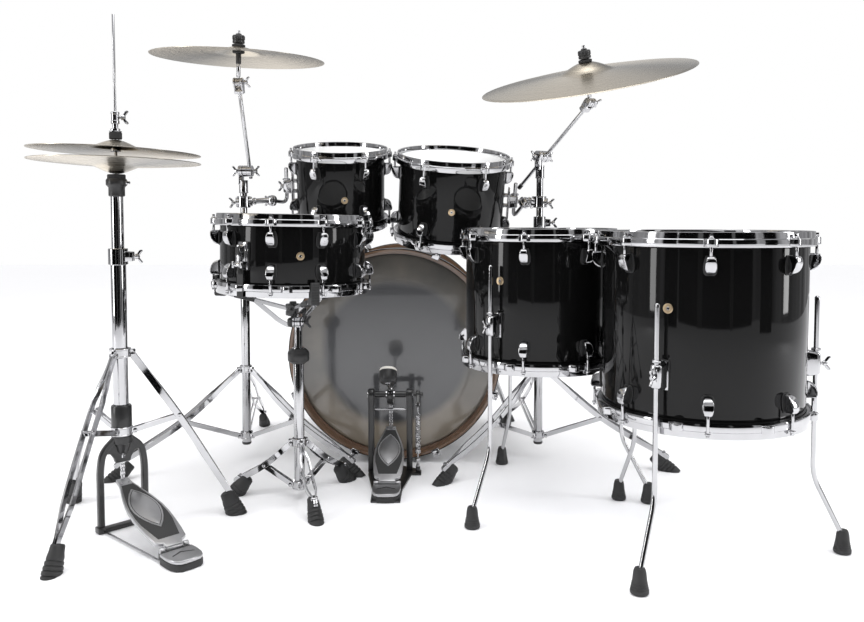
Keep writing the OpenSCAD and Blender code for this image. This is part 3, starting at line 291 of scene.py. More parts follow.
def bronze(name, centre, tilt, roll):
    """Lathed cymbal bronze: fine rings round the hole, with painted sheen across them: fans of painted highlight and
    painted shade about the hole.
    """
    f = Finish(name, Metallic=1.0)
    x, y, z = f.parts(f.centred(centre, tilt, roll))
    radius = (x * x + y * y).root()
    fine = f.noise(1.0, 2.0, f.point(radius * 1400.0, 0.0, 0.0))
    bands = f.noise(1.0, 3.0, f.point(radius * 110.0, 0.0, 0.0))
    hammer = f.noise(34.0, 2.0)
    # Painted reflection: the fans are painted highlight and painted shade by the angle round the hole, standing in for
    # the lathe's reflections.
    fan = abs((y.angle_with(x) + 0.35 + bands * 0.35).sine())
    # The tone mixes that painted highlight and shade with the real lathed bands.
    tone = f.colour(fan ** 1.4 * 0.85 + bands * 0.3 - 0.05, (0.15, 0.146, 0.136), (0.80, 0.72, 0.59))
    f.feed(Base_Color=f.colour(fine * 0.35, tone, (0.22, 0.20, 0.16)), Roughness=0.22 + bands * 0.12)
    return f.bump(fine * 0.3 + bands * 0.5 + hammer * 0.5, 0.00025, 0.4).material


def coated_film():
    """Clear film over a frosted one: milky, with the drum's dark inside just showing through."""
    f = Finish("coated_film", Specular_IOR_Level=0.5)
    cloud = f.noise(7.0, 4.0)
    f.feed(Base_Color=f.colour(cloud, (0.76, 0.77, 0.78), (0.86, 0.865, 0.87)), Roughness=0.28 + cloud * 0.14)
    return f.bump(f.noise(1600.0, 2.0), 0.00004, 0.4).material


def grey_film():
    """The bass drum's smoky film: glossy and slack at the rim, where a painted reflection makes it lighter and warmer,
    most towards the bottom.
    """
    f = Finish("grey_film", Specular_IOR_Level=0.6, Coat_Weight=0.7, Coat_Roughness=0.03)
    x, y, z = f.parts(f.centred(kit(0, 0, BASS_Z)))
    radius = (x * x + z * z).root()
    cloud = f.noise(5.0, 4.0)
    # Painted reflection: the outer ring of the film is painted lighter and warmer, more so towards the bottom of the
    # head and along soft streaks round it.
    rim = f.node("ShaderNodeMapRange", {"interpolation_type": "SMOOTHSTEP"}, radius + cloud * 0.03, 0.205, 0.235)
    low = f.node("ShaderNodeMapRange", {"interpolation_type": "SMOOTHSTEP"}, z * -1.0 + cloud * 0.05, 0.05, 0.27)
    streak = f.noise(1.0, 3.0, f.point(x.angle_with(z) * 2.2, radius * 6.0, 0.0))
    # Painted reflection tone: from dark grey to a warm light brown, lightest towards the bottom of the head.
    painted_reflection_tone = f.colour(low * 0.6 + streak * 0.6 - 0.1, (0.07, 0.07, 0.068), (0.25, 0.215, 0.17))
    f.feed(Base_Color=f.colour(rim, f.colour(cloud, (0.042, 0.043, 0.046), (0.062, 0.063, 0.066)), painted_reflection_tone),
           Roughness=0.12 + cloud * 0.06)
    return f.bump(cloud * 1.0 + rim * 0.8, 0.0012, 0.3).material


def screen(name, low, high):
    """A studio wall with soft upright bands of tone, seen only in reflections."""
    f = Finish(name, Base_Color=(0, 0, 0, 1), Roughness=1.0, Specular_IOR_Level=0.0, Emission_Strength=1.0)
    x, y, z = f.parts(f.place())
    band = f.noise(1.0, 2.0, f.point(x * 9.0, 0.0, 0.0)) * 2.4 - 0.7
    f.feed(Emission_Color=f.colour(band, shade(low), shade(high)))
    return f.material


LACQUER = plain("black_lacquer", shade(0.003), shade(0.005), 0.035, 0.03, cloud=9, grain=260, depth=0.00001,
                Specular_IOR_Level=0.24)
COATED_FILM = coated_film()
GREY_FILM = grey_film()
HOOP_WOOD = hoop_wood()
CHROME = plain("chrome", shade(0.44), shade(0.56), 0.03, 0.07, 1.0, cloud=30, grain=420, depth=0.00001)
ALUMINIUM = plain("flesh_hoop_aluminium", shade(0.5), shade(0.6), 0.28, 0.1, 1.0)
CAST = plain("cast_silver", shade(0.42), shade(0.55), 0.3, 0.12, 1.0, grain=1200, depth=0.00006)
WIRE = plain("wire_steel", shade(0.55), shade(0.68), 0.16, 0.1, 1.0, cloud=120)
RUBBER = plain("black_rubber", shade(0.012), shade(0.022), 0.5, 0.15, grain=700, depth=0.00008)
BLACK_STEEL = plain("black_steel", shade(0.008), shade(0.014), 0.28, 0.1, grain=800, depth=0.00003, Coat_Weight=0.3)
BLACK_INLAY = plain("black_grip", shade(0.02), shade(0.032), 0.5, 0.12, grain=2200, depth=0.0002)
FELT = plain("black_felt", shade(0.012), shade(0.03), 0.9, 0.05, grain=2600, depth=0.0006)
PALE_FELT = plain("pale_felt", (0.62, 0.60, 0.55), (0.74, 0.72, 0.67), 0.9, 0.05, grain=2600, depth=0.0006)
BADGE = plain("badge_metal", (0.46, 0.35, 0.22), (0.60, 0.47, 0.31), 0.28, 0.12, 1.0, grain=1500)
PLASTIC = plain("black_plastic", shade(0.012), shade(0.02), 0.32, 0.1, grain=500, depth=0.00003)
# The cymbal finishes carry painted highlight and painted shade in fans about the hole.
CRASH = bronze("crash_bronze", kit(*CRASH_AT), *CRASH_LEAN)
RIDE = bronze("ride_bronze", kit(*RIDE_AT), *RIDE_LEAN)
HATS = bronze("hihat_bronze", kit(*HIHAT[:2], 820), 0, 1.6)
FLOOR = plain("pale_floor", shade(0.96), shade(0.975), 0.8, 0.05, cloud=2, Specular_IOR_Level=0.1)
SCREEN = Finish("screen_black", Base_Color=(0.002, 0.002, 0.002, 1), Roughness=1.0,
                Specular_IOR_Level=0.0).material
SCREEN_GREY = Finish("screen_grey", Base_Color=(0, 0, 0, 1), Emission_Color=(1, 1, 1, 1),
                     Emission_Strength=0.12).material
WALL = screen("wall_screen", 0.03, 0.75)
CEILING = screen("ceiling_screen", 0.3, 0.9)


# ---- Modelling: primitives, edit mode and modifiers ----

def clear():
    """Object mode, with nothing selected."""
    if bpy.context.mode != "OBJECT":
        bpy.ops.object.mode_set(mode="OBJECT")
    bpy.ops.object.select_all(action="DESELECT")


def only(piece):
    """Object mode, with that piece alone selected and active."""
    clear()
    piece.select_set(True)
    bpy.context.view_layer.objects.active = piece


def primitive(kind, material, **sizes):
    clear()
    getattr(bpy.ops.mesh, f"primitive_{kind}_add")(**sizes)
    bpy.ops.object.transform_apply()
    piece = bpy.context.object
    piece.data.materials.append(material)
    return piece


def edit(piece):
    """Edit mode on that piece alone, with nothing selected."""
    only(piece)
    bpy.ops.object.mode_set(mode="EDIT")
    bpy.ops.mesh.select_all(action="DESELECT")


def pick_faces(test):
    """Selects the faces whose middle and normal pass the test."""
    bpy.ops.mesh.select_mode(type="FACE")
    mesh = bmesh.from_edit_mesh(bpy.context.object.data)
    for face in mesh.faces:
        face.select_set(bool(test(face.calc_center_median(), face.normal)))
    bmesh.update_edit_mesh(bpy.context.object.data)


def pick_points(test):
    """Selects the points whose place passes the test."""
    bpy.ops.mesh.select_mode(type="VERT")
    mesh = bmesh.from_edit_mesh(bpy.context.object.data)
    for vert in mesh.verts:
        vert.select_set(bool(test(vert.co)))
    mesh.select_flush_mode()
    bmesh.update_edit_mesh(bpy.context.object.data)


def closed_up():
    """Welds the piece in edit mode, turns its faces outwards and leaves it."""
    bpy.ops.mesh.select_all(action="SELECT")
    bpy.ops.mesh.remove_doubles(threshold=0.0005)
    bpy.ops.mesh.normals_make_consistent(inside=False)
    clear()


def drawn(points, material):
    """Edit mode on a new piece that is a line through the points, all of it selected."""
    piece = primitive("plane", material, size=1)
    edit(piece)
    bpy.ops.mesh.select_all(action="SELECT")
    bpy.ops.mesh.merge(type="CENTER")
    bpy.ops.mesh.select_mode(type="VERT")
    bpy.ops.transform.translate(value=points[0])
    for a, b in zip(points, points[1:]):
        step = [q - p for p, q in zip(a, b)]
        bpy.ops.mesh.extrude_region_move(TRANSFORM_OT_translate={"value": step})
    bpy.ops.mesh.select_all(action="SELECT")
    return piece


def turned(profile, material, steps=32, loop=False):
    """A piece turned about Z from its profile of (radius, height). A loop is a ring that doesn't reach the axis."""
    points = [(r, 0, z) for r, z in profile]
    piece = drawn(points + points[:1] if loop else points, material)
    bpy.ops.mesh.spin(steps=steps, angle=2 * pi, center=(0, 0, 0), axis=(0, 0, 1))
    closed_up()
    return piece


def cut_plate(outline, low, high, material, edge=0.5, segments=2):
    """A flat plate with that outline in X and Y, from low to high, its edges eased."""
    piece = drawn([(x, y, low) for x, y in [*outline, outline[0]]], material)
    bpy.ops.mesh.remove_doubles(threshold=0.0005)
    bpy.ops.mesh.edge_face_add()
    bpy.ops.mesh.extrude_region_move(TRANSFORM_OT_translate={"value": (0, 0, high - low)})
    closed_up()
    return eased(piece, edge, segments) if edge else piece


def eased(piece, width, segments=2, angle=40):
    """Bevels the edges that are sharper than an angle."""
    bpy.context.view_layer.objects.active = piece
    bevel = piece.modifiers.new("edges", "BEVEL")
    bevel.width, bevel.segments, bevel.limit_method, bevel.angle_limit = width, segments, "ANGLE", radians(angle)
    bevel.use_clamp_overlap = True
    return applied(piece, bevel)


def applied(piece, modifier):
    only(piece)
    bpy.ops.object.modifier_apply(modifier=modifier.name)
    return piece


def block(material, low, high, edge=1.0, segments=2, draft=None):
    """A block from its low corner to its high one. draft scales the faces on its +X side in Y and Z."""
    low, high = Vector(low), Vector(high)
    piece = primitive("cube", material, size=1)
    piece.data.transform(Matrix.Translation((low + high) / 2) @ Matrix.Diagonal((*(high - low), 1)))
    if draft:
        edit(piece)
        pick_faces(lambda middle, normal: normal.x > 0.9)
        bpy.ops.transform.resize(value=(1, *draft), center_override=(high.x, 0, (low.z + high.z) / 2))
        clear()
    return eased(piece, edge, segments)


def cylinder(material, a, b, radius, edge=0.8, steps=24):
    """A turned bar from a to b, its ends eased."""
    length = (Vector(b) - Vector(a)).length
    edge = min(edge, radius * 0.6, length * 0.4)
    profile = [(0, 0), (radius - edge, 0), (radius - edge * 0.3, edge * 0.3), (radius, edge), (radius, length - edge),
               (radius - edge * 0.3, length - edge * 0.3), (radius - edge, length), (0, length)]
    return set_at(turned(profile, material, steps), aimed(a, b))


def column(material, low, high, radius, edge=0.8, steps=24):
    """A turned bar about Z."""
    return cylinder(material, (0, 0, low), (0, 0, high), radius, edge, steps)


def ball(material, centre, radius):
    piece = primitive("uv_sphere", material, segments=32, ring_count=16, radius=radius)
    return set_at(piece, Matrix.Translation(centre))


def pipe(points, radius, material, bend=12, sides=12):
    """A round rod through the points, its corners bent to a radius."""
    path = rounded(points, bend)
    curve = bpy.data.curves.new("rod", "CURVE")
    curve.dimensions, curve.bevel_depth, curve.bevel_resolution = "3D", radius, max(0, sides // 4 - 1)
    curve.use_fill_caps = True
    line = curve.splines.new("POLY")
    line.points.add(len(path) - 1)
    for at, point in zip(line.points, path):
        at.co = (*point, 1)
    piece = bpy.data.objects.new("rod", curve)
    bpy.context.collection.objects.link(piece)
    only(piece)
    bpy.ops.object.convert(target="MESH")
    piece = bpy.context.object
    piece.data.materials.clear()
    piece.data.materials.append(material)
    return piece


def rounded(points, bend, steps=6):
    """The points of a path, with each corner replaced by a round bend."""
    points = [Vector(p) for p in points]
    path = [points[0]]
    for before, corner, after in zip(points, points[1:], points[2:]):
        inward, outward = (before - corner), (after - corner)
        reach = min(bend, inward.length * 0.45, outward.length * 0.45)
        a, b = corner + inward.normalized() * reach, corner + outward.normalized() * reach
        for i in range(steps + 1):
            t = i / steps
            path.append(a * (1 - t) ** 2 + corner * 2 * t * (1 - t) + b * t ** 2)
    return path + [points[-1]]


def strap(points, width, thick, material, bend=20, edge=0.5, ends=True):
    """A flat bar in the XZ plane along a path, thick in Y, with round ends and bends."""
    path = rounded([(x, 0, z) for x, z in points], bend)
    left, right = [], []
    for i, at in enumerate(path):
        ahead = (path[min(i + 1, len(path) - 1)] - path[max(i - 1, 0)]).normalized()
        side = Vector((-ahead.z, 0, ahead.x)) * width / 2
        left.append(at + side)
        right.append(at - side)
    start = (path[1] - path[0]).normalized()
    end = (path[-1] - path[-2]).normalized()
    caps = [[], []]
    if ends:
        for k, (at, way) in enumerate(((path[0], -start), (path[-1], end))):
            side = Vector((-way.z, 0, way.x))
            caps[k] = [at + (side * cos(t) + way * sin(t)) * width / 2 for t in (pi / 4, pi / 2, 3 * pi / 4)]
    outline = left + caps[1] + right[::-1] + caps[0]
    piece = cut_plate([(p.x, p.z) for p in outline], -thick / 2, thick / 2, material, edge, 1)
    return set_at(piece, UPRIGHT)


def set_at(piece, matrix):
    """Moves the piece's own mesh, and turns its faces outwards again after a mirror."""
    piece.data.transform(matrix)
    if matrix.determinant() < 0:
        edit(piece)
        bpy.ops.mesh.select_all(action="SELECT")
        bpy.ops.mesh.normals_make_consistent(inside=False)
        clear()
    return piece


def copies(piece, places):
    """The piece at each of the places, every copy with its own mesh."""
    made = []
    for place in places:
        copy = piece.copy()
        copy.data = piece.data.copy()
        bpy.context.collection.objects.link(copy)
        copy.data.transform(place)
        made.append(copy)
    bpy.data.objects.remove(piece)
    return joined(made)


def joined(pieces):
    """One piece of them all, which keeps the first one's place."""
    clear()
    for piece in pieces:
        piece.select_set(True)
    bpy.context.view_layer.objects.active = pieces[0]
    if len(pieces) > 1:
        bpy.ops.object.join()
    return bpy.context.object


def fitted(name, pieces, place, body, nodes=None):
    """Sets the joined pieces in the frame, on their body and in place of their CAD node, which has its body's name
    unless another is given."""
    piece = joined(pieces if isinstance(pieces, list) else [pieces])
    piece.name = piece.data.name = name
    piece.data.transform(KIT @ place)
    bpy.ops.object.shade_smooth_by_angle(angle=radians(35))
    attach(piece, body)
    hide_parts(nodes or body)
    return piece


def sawn(piece, point, normal):
    """Cuts off what lies beyond a plane, and closes the cut."""
    edit(piece)
    bpy.ops.mesh.select_all(action="SELECT")
    bpy.ops.mesh.bisect(plane_co=point, plane_no=normal, use_fill=True, clear_outer=True)
    clear()
    return piece


def coil(radius, wire, low, high, turns, material, sides=8, steps=14):
    """A coil spring about Z."""
    count = int(turns * steps)
    points = [(radius * cos(2 * pi * i / steps), radius * sin(2 * pi * i / steps), low + (high - low) * i / count)
              for i in range(count + 1)]
    return pipe(points, wire, material, bend=0, sides=sides)


# ---- Small fittings that many pieces share ----

def wing_bolt(shank=6, material=CHROME):
    """A wing bolt along Z, its seat at 0."""
    hub = turned([(0, shank), (6, shank), (6.3, shank + 1), (6, shank + 3), (4.6, shank + 7), (3, shank + 8),
                  (0, shank + 8)], material, 20)
    half = [(-3, 1.5), (-8, 4), (-13.5, 8), (-15, 11.5), (-14.4, 14.4), (-11.5, 15), (-8, 12), (-4, 8.6), (0, 7.6)]
    wings = cut_plate([(x, z + shank) for x, z in mirrored(half, -2)], -2.1, 2.1, material, 1.3, 2)
    return joined([hub, set_at(wings, UPRIGHT), column(material, 0, shank + 2, 3.5, steps=16)])


def key_screw():
    """A square-headed screw along Z with its washer, its seat at 0."""
    washer = turned([(0, 0), (5.6, 0), (5.8, 0.5), (5.5, 1.3), (4.3, 1.8), (4, 3.4), (3.6, 3.8), (0, 3.8)], CHROME, 16)
    return joined([washer, block(CHROME, (-2.9, -2.9, 3.4), (2.9, 2.9, 9), 0.6)])


def rivet(a, b, radius=4.6):
    """A rivet through a joint from a to b, with domed heads."""
    length = (Vector(b) - Vector(a)).length
    half = [(0, -1.4), (radius * 0.5, -1.2), (radius * 0.9, -0.5), (radius, 0.3), (radius, 1.2), (radius * 0.75, 1.4)]
    profile = half + [(r, length - z) for r, z in half[::-1]]
    return set_at(turned(profile, CHROME, 16), aimed(a, b))


def ribbed_foot():
    """A rubber foot that stands upright on the floor."""
    profile = [(0, 0), (12.5, 0), (14.2, 1), (15, 3), (15, 7.5), (14, 8.6), (13.6, 10), (14.2, 11.2), (13.4, 12.4),
               (13, 14), (13.5, 15.2), (12.7, 16.4), (12.2, 18), (12.7, 19.2), (11.9, 20.6), (11.2, 28), (10.6, 34),
               (9.4, 39), (8, 42), (5.5, 42), (0, 42)]
    return set_at(turned(profile, RUBBER, 24), Matrix.Diagonal((1.16, 1.16, 1.14, 1)))


def boot(foot, knee):
    """A ribbed rubber boot that slopes with its leg and is flat on the floor."""
    profile = [(0, -20), (20.5, -20), (21, -4), (19, -2), (21, 0), (21, 6), (18.8, 8), (20.4, 10), (20, 15), (18, 17),
               (19.4, 19), (19, 24), (16.8, 26), (18, 28), (17.4, 34), (15.6, 42), (14.6, 54), (12, 57), (0, 57)]
    shaped = turned(profile, RUBBER, 28)
    return sawn(set_at(shaped, aimed(foot, knee) @ Matrix.Diagonal((1.1, 0.86, 1, 1))), (0, 0, 0.02), (0, 0, -1))


def collar(radius, low, high, wall=5):
    """A cast collar about Z with a raised lip at each end."""
    r = radius + wall
    return turned([(radius - 1, low), (r - 1, low), (r, low + 1), (r, low + 3), (r - 0.8, low + 3.8),
                   (r - 0.8, high - 3.8), (r, high - 3), (r, high - 1), (r - 1, high), (radius - 1, high)], CHROME,
                  32, loop=True)


def height_lock(radius, high, way):
    """A split clamp on a tube, its top at high, with a wing bolt that points along X, and its bush."""
    body = turned([(radius - 1, high - 36), (radius + 3.6, high - 36), (radius + 4.5, high - 35),
                   (radius + 4.5, high - 1.5), (radius + 3.4, high - 0.3), (radius - 2, high - 0.3)], CHROME, 32,
                  loop=True)
    jaws = [block(CHROME, (radius - 2, s * 5 - 3.6, high - 30), (radius + 18, s * 5 + 3.6, high - 6), 1.6, 2,
                  (0.9, 0.86)) for s in (-1, 1)]
    pad = block(CHROME, (radius - 1, -3, high - 28), (radius + 15, 3, high - 8), 0.5)
    bush = turned([(radius - 3, high - 0.6), (radius + 2.6, high - 0.6), (radius + 2.2, high + 1.6),
                   (radius - 3, high + 1.6)], PLASTIC, 32, loop=True)
    bolt = set_at(wing_bolt(6), shift(radius + 17, 0, high - 18) @ TO_X)
    return set_at(joined([body, *jaws, pad, bolt]), turn("Z", way)), bush


# ---- Drums, each about the middle of its shell ----

def shell_radius(d):
    return d / 2 - 1


def drum_shell(d, depth):
    """A shell with its bearing edges."""
    r, e = shell_radius(d), depth / 2
    return turned([(r - 6, -e + 3), (r - 3.2, -e), (r - 1.2, -e), (r - 0.3, -e + 0.4), (r, -e + 1.3), (r, e - 1.3),
                   (r - 0.3, e - 0.4), (r - 1.2, e), (r - 3.2, e), (r - 6, e - 3)], LACQUER, 128, loop=True)


def drum_heads(d, depth, film, ring):
    """Both heads with their flesh hoops, of the finishes film and ring."""
    r, e = shell_radius(d), depth / 2
    skin = turned([(0, e + 0.7), (r - 12, e + 0.7), (r - 5, e + 0.65), (r - 0.5, e + 0.55), (r + 1.2, e - 0.2),
                   (r + 1.7, e - 1.5), (r + 1.8, e - 8), (r + 0.9, e - 8), (r + 0.9, e - 1.5), (r + 0.3, e + 0.1),
                   (r - 2, e + 0.22), (0, e + 0.22)], film, 96)
    flesh = turned([(r + 0.9, e - 14), (r + 6.4, e - 14), (r + 7, e - 13.2), (r + 7, e - 6.8), (r + 6.3, e - 6.1),
                    (r + 1.9, e - 6.1), (r + 1.9, e - 8)], ring, 96, loop=True)
    return copies(joined([skin, flesh]), BOTH_ENDS)


def drum_rims(d, depth, count, first):
    """Both cast rims, with an ear at each of the lugs."""
    r, e = shell_radius(d), depth / 2
    profile = [(r + 4, e - 5.7), (r + 4, e + 11.6), (r + 4.5, e + 12.6), (r + 5.4, e + 13), (r + 7.8, e + 13),
               (r + 8.7, e + 12.6), (r + 9.1, e + 11.7), (r + 9, e + 1.4), (r + 9.3, e + 0.3), (r + 10.6, e - 0.4),
               (r + 11.7, e - 1.2), (r + 12, e - 2.6), (r + 12, e - 14.2), (r + 11.5, e - 15.6), (r + 10.4, e - 16),
               (r + 7.3, e - 16), (r + 7.3, e - 5.7)]
    ring = turned(profile, CHROME, 128, loop=True)
    nose = [(r + 10.4, -14), (r + 13.6, -12.6), (r + 16, -10.4), (r + 19, -8.4), (r + 21, -5.4), (r + 22, -2.8),
            (r + 22.3, 0)]
    ear = cut_plate(nose + [(x, -y) for x, y in nose[-2::-1]], e - 14.4, e + 0.5, CHROME, 1.3, 3)
    ears = copies(ear, around(count, first))
    return copies(joined([ring, ears]), BOTH_ENDS)


def lug(r, depth, drop):
    """A cast lug on its gasket at the shell's angle 0, with its tension rod and screw."""
    z, e = depth / 2 - drop, depth / 2
    side = [(0.8, -17.6), (5, -17.4), (11, -15.2), (16.5, -10.6), (20.4, -4), (22.6, 4), (23.2, 11), (22.2, 16.4),
            (18, 17.6), (0.8, 17.6)]
    body = set_at(cut_plate(side, -11.5, 11.5, CHROME, 0), UPRIGHT)
    edit(body)
    for low, high, narrow in ((-18, -17, 0.42), (-17, -14, 0.66), (-13, -8, 0.9), (0, 8, 0.98), (8, 15, 0.84),
                              (15, 18, 0.56)):
        pick_points(lambda at: low < at.z < high)
        bpy.ops.transform.resize(value=(1, narrow, 1), center_override=(0, 0, 0))
    clear()
    body = set_at(eased(body, 3.2, 4, 25), shift(r, 0, z))
    edge = [(-8, 18.6), (-11, 9), (-12.4, 0), (-12.6, -8), (-11, -15), (-7.4, -18.8)]
    gasket = cut_plate(mirrored(edge), 0.1, 1.5, RUBBER, 0.4, 1)
    gasket = set_at(gasket, shift(r, 0, z) @ FACING_X)
    rod = cylinder(CHROME, (r + 15, 0, z + 10), (r + 15, 0, e + 2), 3, steps=12)
    screw = set_at(key_screw(), shift(r + 15, 0, e + 0.8))
    return joined([body, gasket, rod, screw])


def drum_lugs(d, depth, count, first, drop):
    """Lugs on both ends of the shell, the first at an angle, their middles drop from the edge."""
    return copies(lug(shell_radius(d), depth, drop), both_ways(around(count, first)))


def badge(d, angle, z):
    """A plain round badge with an eyelet for the shell's vent."""
    plate = turned([(2, 0.2), (9.5, 0.2), (9.5, 1), (9, 1.6), (7.9, 1.8), (7.6, 1.4), (2.6, 1.4)], BADGE, 32, loop=True)
    eyelet = turned([(1.8, 0.3), (3.2, 0.3), (3.4, 1.8), (3, 2.2), (2.2, 2.2), (1.8, 1.8)], CHROME, 20, loop=True)
    return set_at(joined([plate, eyelet]), turn("Z", angle) @ shift(shell_radius(d), 0, z) @ TO_X)


def middle(top, depth, tilt=0, roll=0):
    """The frame of a drum whose top rim is centred there."""
    return shift(*top) @ leaned(tilt, roll) @ shift(0, 0, -RIM_RISE - depth / 2)


def make_drum(name, d, depth, count, first, place, body, extras=(), drop=49):
    fitted(name + "_lacquered_shell", drum_shell(d, depth), place, body, name + "_shell")
    fitted(name + "_skins", drum_heads(d, depth, COATED_FILM, ALUMINIUM), place, body, name + "_heads")
    fitted(name + "_cast_rims", drum_rims(d, depth, count, first), place, body, name + "_hoops")
    fitted(name + "_cast_lugs", [drum_lugs(d, depth, count, first, drop), *extras], place, body,
           name + "_lugs")


# ---- Bass drum ----

BASS = shift(0, 260.7, BASS_Z) @ UPRIGHT
BASS_R, BASS_E, HOOP_R, HOOP_BACK, HOOP_FRONT = 278.5, 228.5, 298.5, 222.7, 260.7
SPUR_Y, SPUR_DROP = 361, 20


def claw():
    """A claw over the hoop with its key screw, rod and lug, at the shell's angle 0."""
    r, z = HOOP_R + 8, BASS_E - 65
    side = [(-8.6, HOOP_FRONT + 0.2), (-8.6, HOOP_FRONT + 3.6), (-4, HOOP_FRONT + 5), (12, HOOP_FRONT + 5),
            (14, HOOP_FRONT + 2.5), (13.4, BASS_E + 12), (10, BASS_E - 8), (5, BASS_E - 12), (0.4, BASS_E - 12),
            (0.4, HOOP_FRONT + 0.2)]
    hook = set_at(cut_plate(side, -11, 11, CHROME, 0), UPRIGHT)
    edit(hook)
    pick_points(lambda at: at.z < BASS_E)
    bpy.ops.transform.resize(value=(1, 0.6, 1), center_override=(0, 0, 0))
    clear()
    hook = set_at(eased(hook, 1.8, 3), shift(HOOP_R, 0, 0))
    pad = block(RUBBER, (HOOP_R + 0.15, -11.6, BASS_E - 8), (HOOP_R + 1.6, 11.6, HOOP_FRONT - 1), 0.5, 1)
    screw = set_at(key_screw(), shift(r, 0, HOOP_FRONT + 5))
    rod = cylinder(CHROME, (r, 0, z), (r, 0, HOOP_FRONT + 6), 3.4, steps=12)
    body = turned([(0, -24), (4.5, -23.6), (8.2, -21), (10.4, -16), (11, -10), (11, 12), (10, 18), (7, 22.4), (5.4, 24),
                   (0, 24)], CHROME, 24)
    foot = block(CHROME, (BASS_R + 0.6 - r, -8, -19), (0, 8, 19), 2.5, 3)
    gasket = block(RUBBER, (BASS_R + 0.1 - r, -9.2, -20.2), (BASS_R + 1.6 - r, 9.2, 20.2), 0.5, 1)
    return joined([hook, pad, screw, rod, set_at(joined([body, foot, gasket]), shift(r, 0, z))])


def spur_place(side):
    """The frame of a spur's socket on the shell, its Z axis pointing out of it."""
    return shift(0, SPUR_Y, BASS_Z) @ turn("Y", SPUR_DROP if side > 0 else 180 - SPUR_DROP) @ TO_X @ shift(0, 0, BASS_R)


def make_bass_drum():
    fitted("bass_lacquered_shell", drum_shell(BASS_D, BASS_DEPTH), BASS, "stands", "bass_shell")
    fitted("bass_skins", drum_heads(BASS_D, BASS_DEPTH, GREY_FILM, GREY_FILM), BASS, "stands",
           "bass_heads")
    low, high, inner, seat, wood = HOOP_BACK, HOOP_FRONT, HOOP_R - 10, HOOP_R - 16, HOOP_R - 2.4
    hoop = turned([(seat, low + 1.4), (seat + 1.4, low), (wood - 1, low), (wood, low + 1), (wood, high - 1),
                   (wood - 1, high), (inner + 1.6, high), (inner + 0.4, high - 0.4), (inner, high - 1.6),
                   (inner, low + 13), (inner - 1, low + 11), (seat, low + 9)], HOOP_WOOD, 128, loop=True)
    skin = turned([(wood, low + 0.4), (HOOP_R - 1.2, low + 0.4), (HOOP_R, low + 1.6), (HOOP_R, high - 1.6),
                   (HOOP_R - 1.2, high - 0.4), (wood, high - 0.4)], LACQUER, 128, loop=True)
    fitted("bass_maple_hoops", copies(joined([hoop, skin]), BOTH_ENDS), BASS, "stands", "bass_hoops")
    claws = set_at(copies(claw(), both_ways(around(8, 22.5))), BASS)
    sockets = []
    for side in (-1, 1):
        socket = turned([(0, 0.6), (19, 0.6), (20, 1.6), (20, 6), (18, 8), (16.5, 12), (16.5, 26), (15.5, 27.8),
                         (0, 27.8)], CHROME, 32)
        ring = turned([(14, 0.2), (21, 0.2), (21.4, 1), (21, 2), (14, 2)], RUBBER, 32, loop=True)
        sockets.append(set_at(joined([socket, ring]), spur_place(side)))
    fitted("bass_claws", [claws, *sockets], Matrix(), "stands", "bass_lugs")
    for side, word in ((-1, "left"), (1, "right")):
        r = BASS_R + 40
        pivot = Vector((side * r * cos(radians(SPUR_DROP)), SPUR_Y, BASS_Z - r * sin(radians(SPUR_DROP))))
        foot = Vector((side * 374, 463, 0))
        way = (foot - pivot).normalized()
        leg = cylinder(CHROME, pivot, foot - way * 30, 8)
        tip = turned([(0, 0), (11.5, 0), (11.5, 6), (10.4, 7), (11.5, 8), (11.3, 14), (10.2, 15), (11, 16), (10.6, 24),
                      (9.6, 34), (0, 34)], RUBBER, 24)
        tip = sawn(set_at(tip, aimed(foot + way * 3, pivot)), (0, 0, 0.02), (0, 0, -1))
        sleeve = cylinder(CHROME, foot - way * 44, foot - way * 28, 10.4, 1.5)
        head = turned([(0, 28.5), (15, 28.5), (16, 29.5), (16, 38), (14.6, 39.4), (14.6, 43), (16, 44.4), (16, 49.5),
                       (14.5, 51), (0, 51)], CHROME, 32)
        fitted(f"bass_spur_{word}_leg", [leg, tip, sleeve, set_at(head, spur_place(side))], Matrix(),
               f"bass_spur_{word}")


# ---- Rack toms ----

TOM_BRACKET_OUT, TOM_ROD_HALF = 32, 50


def tom_rod_point(name, height):
    """A point on the middle line of a tom's rod, that high above the middle of the drum."""
    d, depth, top, lean, side, _ = TOMS[name]
    return middle(top, depth, *lean) @ Vector((side * (shell_radius(d) + TOM_BRACKET_OUT), 0, height))


def tom_bracket(d):
    """The bracket with the clamp of its rod, at the shell's angle 0."""
    r = shell_radius(d)
    posts = [turned([(0, 0.3), (7.6, 0.3), (7.6, 1.2), (6, 2.6), (6, 13), (0, 13)], CHROME, 20) for _ in range(2)]
    posts = [set_at(post, shift(r, 0, s * 15) @ TO_X) for post, s in zip(posts, (-1, 1))]
    outline = mirrored([(-14, -56), (-17, -50), (-17, 20), (-13, 34), (-8, 38)])
    plate = set_at(cut_plate(outline, 0, 4, CHROME, 1, 2), shift(r + 12, 0, 0) @ FACING_X)
    clamp = block(CHROME, (r + 15, -13, -22), (r + TOM_BRACKET_OUT + 9, 13, 18), 4, 3, (0.84, 0.86))
    lips = [collar(5.5, z, z + 5, wall=5.5) for z in (-25, 16)]
    lips = [set_at(lip, shift(r + TOM_BRACKET_OUT, 0, 0)) for lip in lips]
    bolt = set_at(wing_bolt(3), shift(r + TOM_BRACKET_OUT + 7, 0, -2) @ TO_X)
    return joined([*posts, plate, clamp, *lips, bolt])


def tom_rod(top, elbow, knuckle):
    """The bent rod in a tom's bracket, with the ball at its lower end."""
    stem = pipe([knuckle, elbow, top], 5.5, CHROME, 22, 20)
    tip = turned([(0, -1), (5.4, -1), (5.4, 1), (4.4, 2.4), (2, 3.2), (0, 3.3)], CHROME, 20)
    return [stem, set_at(tip, aimed(top, top * 2 - elbow)), ball(CHROME, knuckle, 11)]


